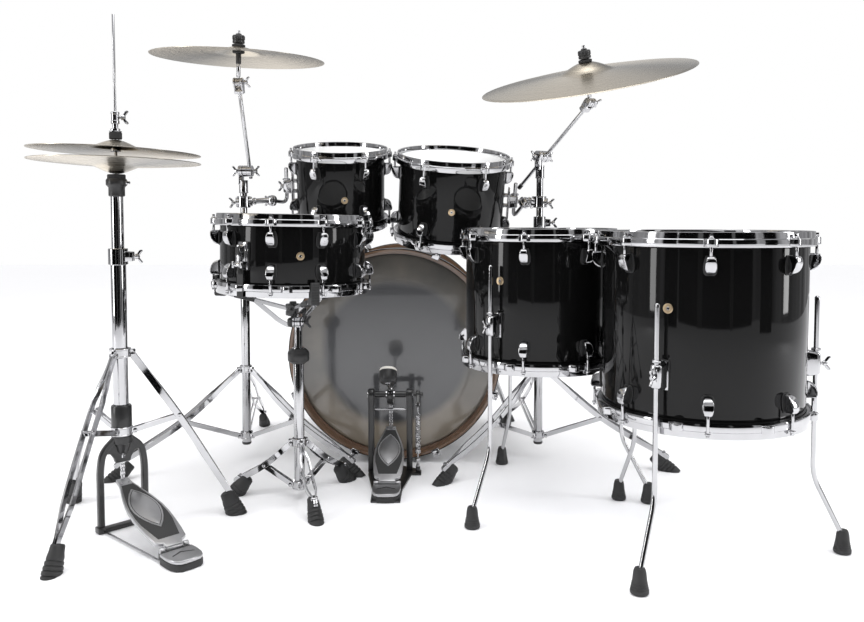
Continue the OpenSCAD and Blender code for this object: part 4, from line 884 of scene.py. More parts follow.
def make_toms():
    for name, first_lug, badge_angle, badge_z in (("tom_1", 5.5, -79, -18), ("tom_2", 1, -90, -10)):
        d, depth, top, lean, side, knuckle = TOMS[name]
        place = middle(top, depth, *lean)
        bracket = set_at(tom_bracket(d), turn("Z", 180 if side < 0 else 0))
        make_drum(name, d, depth, 6, first_lug, place, name, [bracket, badge(d, badge_angle, badge_z)])
        rod = tom_rod(tom_rod_point(name, TOM_ROD_HALF), tom_rod_point(name, -TOM_ROD_HALF), Vector(knuckle))
        fitted(name + "_arm_rod", rod, Matrix(), name + "_rod")


# ---- Floor toms ----

def leg_bracket(d, z):
    """The bracket that clamps a leg, with its wing bolt."""
    r = shell_radius(d)
    body = block(CHROME, (r + 1.4, -14, z - 28), (r + 32, 14, z + 28), 6, 4, (0.72, 0.8))
    foot = block(CHROME, (r + 0.9, -15, z - 28), (r + 4, 15, z + 28), 1.2)
    gasket = block(RUBBER, (r + 0.05, -16, z - 29), (r + 1.2, 16, z + 29), 0.5, 1)
    lips = [set_at(collar(5, z + h, z + h + 5, wall=4.4), shift(r + 24, 0, 0)) for h in (-31, 26)]
    bolt = set_at(wing_bolt(7), shift(r + 31, 0, z) @ TO_X)
    return joined([body, foot, gasket, *lips, bolt])


def make_floor_toms():
    for name, d, depth, at, top, reach, first_lug, legs, badge_angle in (
            ("floor_tom_1", 356, 305, (365, -269), 664, 267, -107.5, (-130, -10, 104), -127),
            ("floor_tom_2", 406, 356, (665, -561), 662, 287, -105, (-129, -9, 111), -126)):
        place = middle((*at, top), depth)
        lug_drop, lug_half, gap, bracket_half, leg_above = 49, 18, 4, 28, 110
        block_z = -depth / 2 + lug_drop + lug_half + gap + bracket_half
        brackets = copies(leg_bracket(d, block_z), [turn("Z", a) for a in legs])
        make_drum(name, d, depth, 8, first_lug, place, "stands", [brackets, badge(d, badge_angle, 47)])
        r, high = shell_radius(d) + 24, top - RIM_RISE - depth / 2 + block_z + bracket_half + leg_above
        for word, a in zip(("left", "right", "back"), legs):
            stem = pipe([(reach, 0, 34), (r, 0, 158), (r, 0, high - 8)], 5, CHROME, 26, 20)
            tip = turned([(0, -9), (5, -9), (5, -4), (4.2, -2), (2.6, -0.6), (0, 0)], CHROME, 20)
            foot = set_at(ribbed_foot(), shift(reach, 0, 0))
            ring = set_at(column(CHROME, 39, 46, 7.6, 1.4), shift(reach, 0, 0))
            piece = f"{name}_leg_{word}"
            parts = [stem, set_at(tip, shift(r, 0, high)), foot, ring]
            fitted(piece + "_rod", parts, shift(*at) @ turn("Z", a), piece)


# ---- Tripods and stands ----

# From the boom's pivot to its post's middle and from its rod to that, and from a cymbal down to its tilter
PIVOT_OFFSET, BOOM_OFFSET, TILTER_DROP = 13, 19, 62
TUBE_R, POST_R = 12.7, 9.5


def bowed(piece, way, start, end, out, slices=14):
    """Bows the middle of a leg's side bar outwards along Y, after cutting it into slices."""
    straight_end, bowed_part, steep = 0.12, 0.8, 1.7
    chord = (end - start).normalized()
    edit(piece)
    for i in range(1, slices):
        bpy.ops.mesh.select_all(action="SELECT")
        bpy.ops.mesh.bisect(plane_co=start.lerp(end, i / slices), plane_no=chord)
    for i in range(slices + 1):
        along = min(1, max(0, (i / slices - straight_end) / bowed_part))
        rise = out * min(1.0, steep * sin(pi * along))
        pick_points(lambda at: round(min(1, max(0, (at - start).dot(chord) / (end - start).length)) * slices) == i)
        bpy.ops.transform.translate(value=(0, way * rise, 0))
    clear()
    return piece


def tripod(angles, tube, high, low, knee, reach):
    """Double-braced legs about the foot of a tube, with rivets, collars and boots."""
    (kx, kz), foot = knee, (reach - 6, 38)
    parts = [collar(tube, z - 10, z + 10) for z in (high, low)]
    braces = []
    for s in (-1, 1):
        side = strap([(tube + 4, high), (kx, kz), foot], 14, 4, CHROME, 70)
        strut = strap([(tube + 6, low), (kx, kz)], 12, 2.6, CHROME)
        side = bowed(set_at(side, shift(0, s * 2.6, 0)), s, Vector((tube + 4, 0, high)),
                     Vector((foot[0], 0, foot[1])), 8)
        braces += [side, set_at(strut, shift(0, s * 5, 0))]
    for x, z, wide in ((tube + 10, low, 8), (kx, kz + 3, 13), (tube + 8, high - 4, 8), (reach - 14, 48, 7)):
        braces.append(rivet((x, -wide, z), (x, wide, z)))
    for z in (high, low):
        braces.append(block(CHROME, (tube + 1, -3.6, z - 7), (tube + 14, 3.6, z + 7), 1.4))
    braces.append(boot((reach, 0, 0), (kx + (reach - kx) * 0.2, 0, kz * 0.95 + 10)))
    return parts + [copies(joined(braces), [turn("Z", a) for a in angles])]


def make_stand_base(name, at, angles, way):
    """The tripod, tube and height lock of a boom stand."""
    reach = 364
    tube = column(CHROME, 44, 690, TUBE_R, 1, 32)
    plug = turned([(0, 39), (10, 39), (12.2, 40.4), (13.2, 43), (13.2, 47), (12, 48), (0, 48)], PLASTIC, 24)
    lock, bush = height_lock(TUBE_R, 694, way)
    legs = tripod(angles, TUBE_R, 258, 66, (reach * 0.49, 129), reach)
    fitted(name + "_tripod", [tube, plug, lock, bush, *legs], shift(*at), "stands", name + "_base")


def ratchet(radius, low, high):
    """A ratchet drum along Z with a ring of teeth round its middle."""
    mid = (low + high) / 2
    drum = turned([(0, low), (radius - 1.5, low), (radius, low + 1.2), (radius, mid - 1.5), (radius - 1, mid - 1),
                   (radius - 1, mid + 1), (radius, mid + 1.5), (radius, high - 1.2), (radius - 1.5, high), (0, high)],
                  CHROME, 32)
    cap = turned([(0, high - 0.2), (radius * 0.6, high - 0.2), (radius * 0.55, high + 0.8), (0, high + 1)], CHROME, 24)
    return joined([drum, cap])


def ball_arm(stand, knuckle, elbow, side):
    """The clamp on the post, and its arm with the socket of a tom's ball."""
    post = Vector((*stand, 735))
    out = (elbow - knuckle).normalized()
    back = knuckle - out * 14
    way = (back - post).normalized()
    across = side * out.cross(Vector((0, 0, 1))).normalized()
    parts = [cylinder(CHROME, post - way * 22, post + way * 24, 14, 2.5, 32),
             set_at(collar(POST_R, -16, 16, wall=9.5), shift(*post)),
             cylinder(CHROME, post + way * 16, back + way * 2, 8, 1, 24),
             cylinder(CHROME, post + way * 26, post + way * 34, 10, 1.5, 24)]
    socket = turned([(10.5, -12), (13, -12), (14, -10.5), (14, -5), (16, -3.6), (16, 3.6), (14.8, 5), (11.6, 4.8)],
                    CHROME, 32, loop=True)
    cup = turned([(0, -17), (8, -17), (12.6, -14), (13.6, -11.5), (0, -11.4)], CHROME, 32)
    return [*parts, set_at(joined([socket, cup]), aimed(knuckle, elbow)),
            set_at(wing_bolt(4), aimed(knuckle + across * 13, knuckle + across * 40)),
            set_at(wing_bolt(5), aimed(post - way * 21, post - way * 40))]


def make_boom_stand(name, at, angles, way, pivot_z, tail, cymbal_at, cymbal_lean, cymbal_size, tom):
    """A stand with its arm for a tom, and the boom and tilter that carry a cymbal."""
    make_stand_base(name + "_stand", at, angles, way)
    up = leaned(*cymbal_lean) @ Vector((0, 0, 1))
    tilter = Vector(cymbal_at) - TILTER_DROP * up
    across = Vector((tilter.x - at[0], tilter.y - at[1], 0))
    out = sqrt(across.length ** 2 - BOOM_OFFSET ** 2)
    head_turn = (atan2(across.y, across.x) + atan2(out, BOOM_OFFSET)) * 180 / pi
    head = shift(*at) @ turn("Z", head_turn) @ shift(PIVOT_OFFSET, 0, pivot_z)

    post = column(CHROME, 500, pivot_z - 38, POST_R, 1, 32)
    sleeve = collar(POST_R, pivot_z - 62, pivot_z - 26, wall=3.5)
    joint = [block(CHROME, (-25.5, -10, -40), (-13.5, 10, 0), 2.5, 3), set_at(ratchet(16, -26, -13.2), TO_X),
             set_at(wing_bolt(6), shift(-25, 0, 0) @ turn("Y", -90))]
    joint = set_at(joined(joint), turn("Z", head_turn) @ shift(PIVOT_OFFSET, 0, pivot_z))
    side, knuckle = TOMS[tom][-2:]
    arm = ball_arm(at, Vector(knuckle), tom_rod_point(tom, -TOM_ROD_HALF), side)
    arm = set_at(joined(arm), shift(-at[0], -at[1]))
    body = name + "_stand_post"
    fitted(name + "_stand_upper_tube", [post, sleeve, joint, arm], shift(*at), body)

    rise = tilter.z - pivot_z
    length = hypot(out, rise)
    pivot = [set_at(ratchet(16, -12.6, 14), TO_X), set_at(wing_bolt(6), shift(13, 0, 0) @ TO_X)]
    rod = [column(CHROME, -tail, length - 18, 5, 1.2, 20),
           block(CHROME, (-13, -8, length - 31), (13, 8, length - 13), 2.5, 3)]
    if tail > 60:
        rod.append(column(RUBBER, -tail - 1, -tail + 16, 6.2, 1.5, 20))
    for s in (-1, 1):
        cheek = cut_plate([(-8, -20), (8, -20), (11.4, -4), (11.8, 2), (9, 8), (4, 11.4), (0, 12), (-4, 11.4), (-9, 8),
                           (-11.8, 2), (-11.4, -4)], -2.4, 2.4, CHROME, 1)
        rod.append(set_at(cheek, shift(s * 10.5, 0, length) @ FACING_X))
    rod.append(set_at(wing_bolt(5), shift(12, 0, length) @ TO_X))
    rod = set_at(joined(rod), shift(BOOM_OFFSET - PIVOT_OFFSET, 0, 0) @ turn("X", bearing(out, rise)))
    fitted(name + "_boom_arm", [*pivot, rod], head, name + "_boom")

    top = TILTER_DROP + bell_top(cymbal_size)
    hub = set_at(ratchet(11.5, -7.6, 7.6), turn("Z", head_turn) @ TO_X)
    stem = column(CHROME, 0, top + 42, 4, 1, 16)
    thread = column(CHROME, 14, top - 24, 5.5, 1, 16)
    sleeve = column(PLASTIC, top - 46, top - 17, 7, 1, 20)
    cup = turned([(5.2, -18), (14, -18), (15.6, -17), (16, -15.5), (16, -11.4), (15, -10), (8.6, -9.8), (5.2, -11)],
                 FELT, 32, loop=True)
    cap = turned([(5.2, 9.6), (8.6, 8.3), (15.2, 8.3), (16, 9.4), (16, 14.4), (15, 15.4), (15, 16.4), (16, 17.4),
                  (16, 27), (14.6, 29), (8, 30), (7.4, 33), (4.6, 34), (0, 34)], PLASTIC, 32)
    grips = copies(block(PLASTIC, (14.6, -1.2, 17.6), (16.6, 1.2, 27), 0.5, 1), around(14))
    stack = set_at(joined([cup, cap, grips]), shift(0, 0, top))
    stem = set_at(joined([stem, thread, sleeve, stack]), aimed(tilter, tilter + up * 100))
    fitted(name + "_tilter_stem", [stem, set_at(hub, shift(*tilter))], Matrix(), name + "_tilter")


# ---- Cymbals ----

def bow(r, radius, bell, high, rise):
    """Height of a cymbal's top at r."""
    if r < bell:
        return rise + high * cos(pi / 2 * r / bell) ** 1.3
    return rise * (1 - ((r - bell) / (radius - bell)) ** 1.4)


def bell_top(size):
    """Height of a cymbal's top at its hole."""
    d, *bell = size
    return bow(6.3, d / 2, *bell)


def cymbal(d, bell, high, rise, material):
    """A cymbal with its bell up, its radius bell and the heights of the bell and the bow given."""
    radius, hole = d / 2, 6.4
    steps = [hole + (bell - hole) * i / 9 for i in range(9)] + [bell + (radius - bell) * i / 16 for i in range(16)]
    top = [(r, bow(r, radius, bell, high, rise)) for r in steps]
    edge = [(radius - 0.5, 0.2), (radius, -0.2), (radius, -0.8), (radius - 0.5, -1.2)]
    return turned(top + edge + [(r, z - 1.35) for r, z in top[::-1]], material, 128, loop=True)


def felts(top):
    """The felts above and below a bell whose top is there."""
    upper = [(6.4, 0.2), (12, -0.5), (16.8, -1.3), (17.6, 0), (17.6, 3.6), (16.4, 5), (9, 7.1), (6.4, 7.4)]
    lower = [(6.4, -1.6), (12, -2.3), (16.8, -3.4), (17.6, -4.4), (17.6, -6), (16.4, -7), (9, -8.4), (6.4, -8.6)]
    return [set_at(turned(profile, FELT, 32, loop=True), shift(0, 0, top)) for profile in (upper, lower)]


def make_cymbals():
    for name, at, lean, size, material in (("crash_cymbal", CRASH_AT, CRASH_LEAN, CRASH_SIZE, CRASH),
                                           ("ride_cymbal", RIDE_AT, RIDE_LEAN, RIDE_SIZE, RIDE)):
        plates = [cymbal(*size, material), *felts(bell_top(size))]
        fitted(name + "_and_felts", plates, shift(*at) @ leaned(*lean), name)
    for name, z, roll, body, flip in (("hihat_top_cymbal", 832, 2.2, "hihat_clutch", Matrix()),
                                      ("hihat_bottom_cymbal", 810, 1, "hihat_post", FLIP)):
        plate = cymbal(356, 52, 17, 9, HATS)
        fitted(name + "_plate", plate, shift(*HIHAT[:2], z) @ turn("Y", roll) @ flip, body, name)


# ---- Snare drum and its stand ----

def strainer():
    """The throw-off's casting, its knob and the strap to the wires, at the strainer's place on the shell."""
    plate = block(CHROME, (0.8, -15, -34), (6, 15, 30), 1.6)
    housing = block(CHROME, (4, -12, -30), (13, 12, 26), 3.4, 3, (0.8, 0.88))
    cheeks = [block(CHROME, (8, s * 12 - 3, -30), (26, s * 12 + 3, -14), 2.4, 3) for s in (-1, 1)]
    pin = cylinder(CHROME, (20, -16, -22), (20, 16, -22), 2.5, 0.6, 16)
    gasket = block(RUBBER, (0.1, -16, -35), (1.2, 16, 31), 0.5, 1)
    knob = turned([(0, -47), (7, -47), (8, -46), (8, -40), (6.6, -38), (3, -37), (3, -30), (0, -30)], PLASTIC, 24)
    strap_line = strap([(13.6, -29), (13.6, -97.6), (-18, -97.6), (-30, -87.6)], 1.2, 18, RUBBER, 4, 0.2, False)
    return [plate, housing, *cheeks, pin, gasket, set_at(knob, shift(16, 0, 4) @ Matrix.Diagonal((0.8, 0.8, 1, 1))),
            strap_line]


def butt():
    """The plate that holds the far end of the wires' strap."""
    plate = block(CHROME, (0.8, -14, -52), (10, 14, -8), 3, 3, (0.86, 0.9))
    screws = [set_at(turned([(0, 0), (3, 0), (3, 1.4), (2.2, 2), (0, 2)], CHROME, 16), shift(9.4, y, z) @ TO_X)
              for y, z in ((-7, -18), (7, -18), (-7, -42), (7, -42))]
    return [plate, *screws]


def make_snare():
    place = middle(SNARE_TOP, SNARE_DEPTH, *SNARE_LEAN)
    r = shell_radius(SNARE_D)
    at = turn("Z", STRAINER_ANGLE) @ shift(r, 0, 0)
    extras = [set_at(piece, at) for piece in strainer()]
    extras += [set_at(piece, turn("Z", STRAINER_ANGLE + 180) @ shift(r, 0, 0)) for piece in butt()]
    make_drum("snare", SNARE_D, SNARE_DEPTH, 10, -95.5, place, "snare_drum", [*extras, badge(SNARE_D, -75, 0)], 46)
    hub = cylinder(CHROME, (0, -8.6, 0), (0, 8.6, 0), 5.5, 0.8, 20)
    blade = cut_plate([(-4, 0), (4, 0), (5, 8), (6, 20), (6, 38), (4.6, 43.6), (0, 46), (-4.6, 43.6), (-6, 38),
                       (-6, 20), (-5, 8)], -3, 3, CHROME, 1.4, 3)
    blade = set_at(blade, FACING_X)
    grip = block(RUBBER, (2.4, -4.6, 22), (3.8, 4.6, 42), 0.7)
    fitted("snare_throw_lever", [hub, blade, grip], place @ at @ shift(20, 0, -22), "snare_lever")
    head_gap, film, clear_of_head = 0.2, 0.5, 0.3
    low = -(SNARE_DEPTH / 2 + head_gap + film + clear_of_head)
    strand = pipe([(-132, 0, low - 1.1), (132, 0, low - 1.1)], 0.9, WIRE, 0, 8)
    strands = copies(strand, [shift(0, -21 + i * 42 / 19, 0) for i in range(20)])
    plates = [block(CHROME, (s * 145 - 16, -22.5, low - 1.9), (s * 145 + 16, 22.5, low - 0.3), 0.5, 1) for s in (-1, 1)]
    fitted("snare_wire_strands", [strands, *plates], place @ turn("Z", STRAINER_ANGLE), "snare_wires")


def make_snare_stand():
    tube = column(CHROME, 26, 368, TUBE_R, 1, 32)
    plug = turned([(0, 22), (10, 22), (12.4, 23.4), (13.2, 26), (13.2, 29), (0, 29)], PLASTIC, 24)
    lock = turned([(11.7, 335), (17, 335), (19, 337), (25.4, 341), (26.6, 344), (26.6, 360), (25, 364), (19, 370),
                   (16, 371.6), (11.7, 371.6)], PLASTIC, 14, loop=True)
    bush = turned([(10, 371), (15, 371), (14.4, 374), (10, 374)], CHROME, 32, loop=True)
    legs = tripod((-68, 52, 172), TUBE_R, 140, 34, (87.4, 77), 168)
    fitted("snare_stand_tripod", [tube, plug, lock, bush, *legs], shift(*SNARE_STAND), "stands",
           "snare_stand_base")
    post = column(CHROME, 222, 424, POST_R, 1, 32)
    yoke = block(CHROME, (-7, -8, 414), (7, 8, 437), 2)
    disc = set_at(ratchet(13, -7, 6), shift(0, 0, 436) @ TO_X)
    fitted("snare_stand_upper_tube", [post, yoke, disc], shift(*SNARE_STAND), "snare_stand_post")
    hub = Vector(SNARE_TOP) - leaned(*SNARE_LEAN) @ Vector((0, 0, 237))
    pivot = Vector(SNARE_STAND) + Vector((0, 0, 436))
    parts = [set_at(ratchet(13, -3, 2.4), shift(*pivot) @ shift(s * 10.3, 0, 0) @ turn("Y", 90 * s)) for s in (-1, 1)]
    parts += [cylinder(CHROME, pivot - Vector((12, 0, 0)), pivot + Vector((14, 0, 0)), 4, 0.8, 16),
              set_at(wing_bolt(4, PLASTIC), shift(*pivot) @ shift(13, 0, 0) @ TO_X)]
    for s in (-1, 1):
        cheek = strap([(0, 0), (hub.y - pivot.y - 8, hub.z - pivot.z)], 13, 6, BLACK_STEEL)
        parts.append(set_at(cheek, shift(*pivot) @ shift(s * 10.3, 0, 0) @ turn("Z", 90)))
    drum = turned([(0, -16), (12, -16), (14, -14.6), (18, -14), (18.4, -12), (18, -4), (17, -3), (17, 3), (18, 4),
                   (18.4, 12), (17, 14), (9, 14.6), (8, 20), (0, 20.4)], BLACK_STEEL, 32)
    knob = turned([(0, -44), (9, -44), (13, -42), (14.6, -38), (14.6, -26), (12, -22), (6, -20), (5, -15), (0, -15)],
                  PLASTIC, 10)
    bridge = block(BLACK_STEEL, (-4, -24, -8), (36, -10, 6), 2.5)
    parts.append(set_at(joined([drum, knob, bridge]), shift(*hub)))
    bar = strap([(12, 2), (110, 24), (178, 38)], 9, 13, CHROME, 60, 1)
    sleeve = strap([(96, 21.4), (150, 32.6)], 11.5, 15.5, RUBBER, 5, 2, False)
    outline = [(171, 31), (174, 29.8), (196, 29.8), (199.4, 33), (199.4, 80), (197.6, 82), (192, 82), (190.3, 80),
               (190.3, 47.5), (188.6, 45.7), (174, 45.7), (171, 43)]
    grip = set_at(cut_plate(outline, -10, 10, RUBBER, 1.6, 3), UPRIGHT)
    ribs = [block(RUBBER, (198.6, -8.4, z), (200.4, 8.4, z + 2.6), 0.6, 1) for z in range(36, 78, 6)]
    arm = joined([bar, sleeve, grip, *ribs])
    angles, steep_brace, brace = (-65.5, 54.5, 174.5), [(12, -34), (40, -4), (98, 20)], [(12, -40), (34, -30), (98, 20)]
    arms = copies(arm, [turn("Z", a) for a in angles])
    basket = shift(*hub) @ leaned(*SNARE_LEAN)
    for a, path in zip(angles, (steep_brace, brace, brace)):
        parts.append(set_at(strap(path, 11, 3, CHROME, 20), basket @ turn("Z", a)))
    parts.append(set_at(arms, basket))
    fitted("snare_basket_arms", parts, Matrix(), "snare_drum", "snare_basket")


# ---- Pedals ----

def chain(low, high, width=10):
    """A double roller chain along Z from low to high, its plates across X."""
    count = max(2, round((high - low) / 8.2))
    pitch = (high - low) / count
    parts = []
    for i in range(count):
        for x in ((-width / 2 + 0.7, 0, width / 2 - 0.7) if i % 2 else (-width / 2 + 1.9, width / 2 - 1.9)):
            link = strap([(0, low + i * pitch), (0, low + (i + 1) * pitch)], 5, 1, WIRE, 0, 0)
            parts.append(set_at(link, shift(x, 0, 0) @ turn("Z", 90)))
        parts.append(cylinder(WIRE, (-width / 2 + 0.3, 0, low + i * pitch), (width / 2 - 0.3, 0, low + i * pitch),
                              1.7, 0.3, 10))
    return joined(parts)


def eye(length, width, points=9):
    """The outline of an eye-shaped shield with pointed ends, about its middle, long in Y."""
    half = [(width / 2 * cos(pi / 2 * t) ** 0.85 if abs(t) < 1 else 0, length / 2 * t)
            for t in [i / points * 2 - 1 for i in range(points + 1)]]
    return half + [(-x, y) for x, y in half[-2:0:-1]]


def footboard(tip, neck, end=0.0):
    """A footboard along Y from its hinge to its toe, with its grip and plain shield."""
    side = [(neck, -3), (neck, 9), (neck + 6, 10.5), (33, 16), (36.6, tip * 0.17), (39, tip * 0.3), (40, tip * 0.42),
            (38.6, tip * 0.54), (34.6, tip * 0.64), (29, tip * 0.74), (22, tip * 0.84), (17.4, tip * 0.91),
            (14.6, tip * 0.96), (13.6, tip + end)]
    board = cut_plate(mirrored(side), 1, 8.8, CAST, 1.4, 3)
    knuckle = cylinder(CAST, (-neck, 0, 0), (neck, 0, 0), 6, 0.8, 24)
    inner = [(23, 24), (25, tip * 0.14), (29, tip * 0.22), (34, tip * 0.32), (35.4, tip * 0.42), (34, tip * 0.54),
             (30, tip * 0.64), (24.4, tip * 0.74), (18, tip * 0.84), (13, tip * 0.92)]
    grip = cut_plate(mirrored(inner), 8.4, 9.3, BLACK_INLAY, 0.4, 1)
    middle_at = shift(0, tip * 0.54, 0)
    rim = set_at(cut_plate(eye(tip * 0.60, 60), 9, 10, CAST, 0.4, 1), middle_at)
    gap = set_at(cut_plate(eye(tip * 0.55, 53), 9.4, 10.15, BLACK_INLAY, 0.1, 1), middle_at)
    shield = set_at(cut_plate(eye(tip * 0.53, 50.5), 9.5, 10.6, CAST, 0.4, 2), middle_at)
    screws = [set_at(turned([(0, 0), (2.6, 0), (2.6, 0.8), (1.8, 1.4), (0, 1.4)], CHROME, 12), shift(x, y, 8.7))
              for x, y in ((-8, tip * 0.955), (8, tip * 0.955))]
    return [board, knuckle, grip, rim, gap, shield, *screws]


def heel_plate(length):
    """The plate behind the hinge, from the hinge at 0 back to -length in Y."""
    side = [(35, -8), (35.6, -length * 0.45), (34, -length * 0.72), (29, -length * 0.9), (20, -length),
            (0, -length - 1.5)]
    outline = mirrored(side, -2)
    base = cut_plate(outline, 0, 15, RUBBER, 2, 2)
    top = cut_plate([(x * 0.985, y * 0.99 - 0.4) for x, y in outline], 14.6, 22.6, CAST, 2.2, 3)
    chevron = [(0, -length * 0.36), (22, -length * 0.52), (24, -length * 0.58), (0, -length * 0.43),
               (-24, -length * 0.58), (-22, -length * 0.52)]
    groove = cut_plate(chevron, 22.2, 22.95, BLACK_INLAY, 0.15, 1)
    edge = block(BLACK_INLAY, (-30, -11.5, 20), (30, -9.4, 23.1), 0.3, 1)
    return [base, top, groove, edge]


def make_kick_pedal():
    place = shift(-9, -74, 0)
    front, heel, hinge, axle = 74, -166, 22, 211
    outline = [(-36, heel - 80), (36, heel - 80), (38, heel), (58, -40), (84, -40), (84, -8), (58, 14), (30, 30),
               (26, front + 34), (-26, front + 34), (-30, 30), (-58, 14), (-58, -40), (-38, heel)]
    parts = [cut_plate(outline, 0.05, 6, BLACK_STEEL, 1.2, 2), block(RUBBER, (-18, front + 3, 4),
                                                                     (18, front + 33, 7.7), 0.8)]
    hoop_inside, jaw_reach, gap = 282.3, 26, 0.4
    jaw = BASS_Z - sqrt(hoop_inside ** 2 - jaw_reach ** 2) + gap
    parts += [block(BLACK_STEEL, (-16, front - 26, jaw), (16, front + 24, jaw + 7), 2),
              cylinder(CHROME, (0, front - 14, 4), (0, front - 14, jaw + 10), 5, 0.8, 16),
              set_at(wing_bolt(6), shift(0, front - 14, jaw + 6))]
    half = [(15, 0), (14.4, 30), (11, 90), (9.6, 140), (11, 180), (14, 196), (15, 206), (14.6, 216), (11, 223),
            (5, 226)]
    for s in (-1, 1):
        post = cut_plate(mirrored(half), -8, 8, BLACK_STEEL, 2.6, 3)
        ring = turned([(5.2, 0), (11, 0), (11.6, 0.6), (11.2, 1.6), (9, 2.2), (5.2, 2.2)], CHROME, 24, loop=True)
        parts += [set_at(post, shift(s * 52, 0, 0) @ FACING_X),
                  set_at(ring, shift(s * 60, 0, axle) @ turn("Y", 90 * s)),
                  cylinder(CAST, (s * 28 - 6, heel, hinge), (s * 28 + 6, heel, hinge), 6, 0.8, 24),
                  block(BLACK_STEEL, (s * 28 - 6, heel - 10, 4), (s * 28 + 6, heel + 3, 20), 1)]
    parts += [cylinder(CHROME, (-45, 0, 170), (45, 0, 170), 3.4, 0.6, 16),
              cylinder(CHROME, (-34, heel, hinge), (34, heel, hinge), 3, 0.6, 16)]
    parts += [set_at(piece, shift(0, heel, 0)) for piece in heel_plate(83)]
    parts += [block(BLACK_STEEL, (69, -28, 3), (81, -16, 20), 1.6), cylinder(CHROME, (75, -22, 18), (75, -22, 26),
                                                                             4.6, 0.8, 16)]
    fitted("kick_pedal_frame", parts, place, "stands", "kick_frame")

    run, rise = 32.8 - heel, 108 - hinge
    slope = shift(0, heel, hinge) @ turn("X", bearing(rise, run))
    board = [set_at(piece, slope) for piece in footboard(hypot(run, rise), 21.4)]
    links = set_at(chain(109, axle, 10), shift(0, 32.9, 0))
    clevis = block(CHROME, (-6.5, 29, 98), (6.5, 36, 112), 1.4)
    fitted("kick_pedal_footboard", [*board, links, clevis], place, "kick_footboard")

    axle_rod = turned([(0, -60), (4.4, -60), (5, -59.2), (5, -43), (8, -42.4), (8, 42.4), (5, 43), (5, 88.2),
                       (4.4, 89), (0, 89)], BLACK_STEEL, 24)
    cam = turned([(0, -8), (27, -8), (30, -7), (30, -5.6), (26.5, -4.6), (26.5, 4.6), (30, 5.6), (30, 7), (27, 8),
                  (0, 8)], BLACK_STEEL, 48)
    hub = turned([(0, -13), (10, -13), (11, -12), (11, -8), (13, -7), (13, 7), (11, 8), (11, 12), (10, 13), (0, 13)],
                 CHROME, 32)
    holes = copies(cylinder(CHROME, (18, 0, -8.4), (18, 0, 8.4), 3.2, 0.5, 16), around(6, 30))
    parts = [set_at(joined([axle_rod, cam, hub, holes]), TO_X)]
    stick = column(CHROME, -14, 142, 4, 0.8, 20)
    clamp = block(CHROME, (-8, -9, 8), (8, 9, 26), 2.4)
    body = turned([(0, -20), (15, -20), (19.5, -18), (21.8, -13), (22.4, -6), (22.4, 11), (0, 11)], PLASTIC, 40)
    felt_face = turned([(0, 11), (22, 11), (22.2, 15), (20.6, 18), (15, 20), (0, 21)], PALE_FELT, 40)
    weight = turned([(0, -23), (6, -23), (7, -22), (7, -19), (0, -19)], CHROME, 24)
    head = set_at(joined([body, felt_face, weight]), shift(0, 0, 135) @ turn("X", -90))
    parts += [set_at(joined([stick, clamp, head]), turn("X", 57)), cylinder(BLACK_STEEL, (70, 0, 0), (80, 0, 0), 10,
                                                                            1, 24)]
    arm = Vector((0, -22, 190 - axle))
    rocker = strap([(0, 0), (arm.y, arm.z)], 14, 8, BLACK_STEEL, 0, 1)
    parts += [set_at(rocker, shift(75, 0, 0) @ turn("Z", 90)),
              cylinder(CHROME, (69, arm.y, arm.z), (81, arm.y, arm.z), 5, 0.8, 16)]
    fitted("kick_pedal_beater", parts, place @ shift(0, 0, axle), "kick_beater")

    winding = coil(6.4, 1.15, 62, 158, 30, WIRE, 8)
    hook = pipe([(6.4, 0, 158), (2, 0, 164), (0, 0, 170), (0, 0, 181)], 1.2, WIRE, 4, 8)
    rod = column(WIRE, 27, 58, 2, 0.4, 12)
    cup = turned([(0, 55), (5, 55), (7.4, 57), (7.6, 62), (7.2, 66), (0, 66)], CHROME, 24)
    nut = turned([(0, 34), (6, 34), (6.4, 35), (6.4, 41), (6, 42), (0, 42)], CHROME, 6)
    fitted("kick_pedal_spring", [winding, hook, rod, cup, nut], place @ shift(75, -22, 0), "stands",
           "kick_spring")


# ---- Hi-hat ----

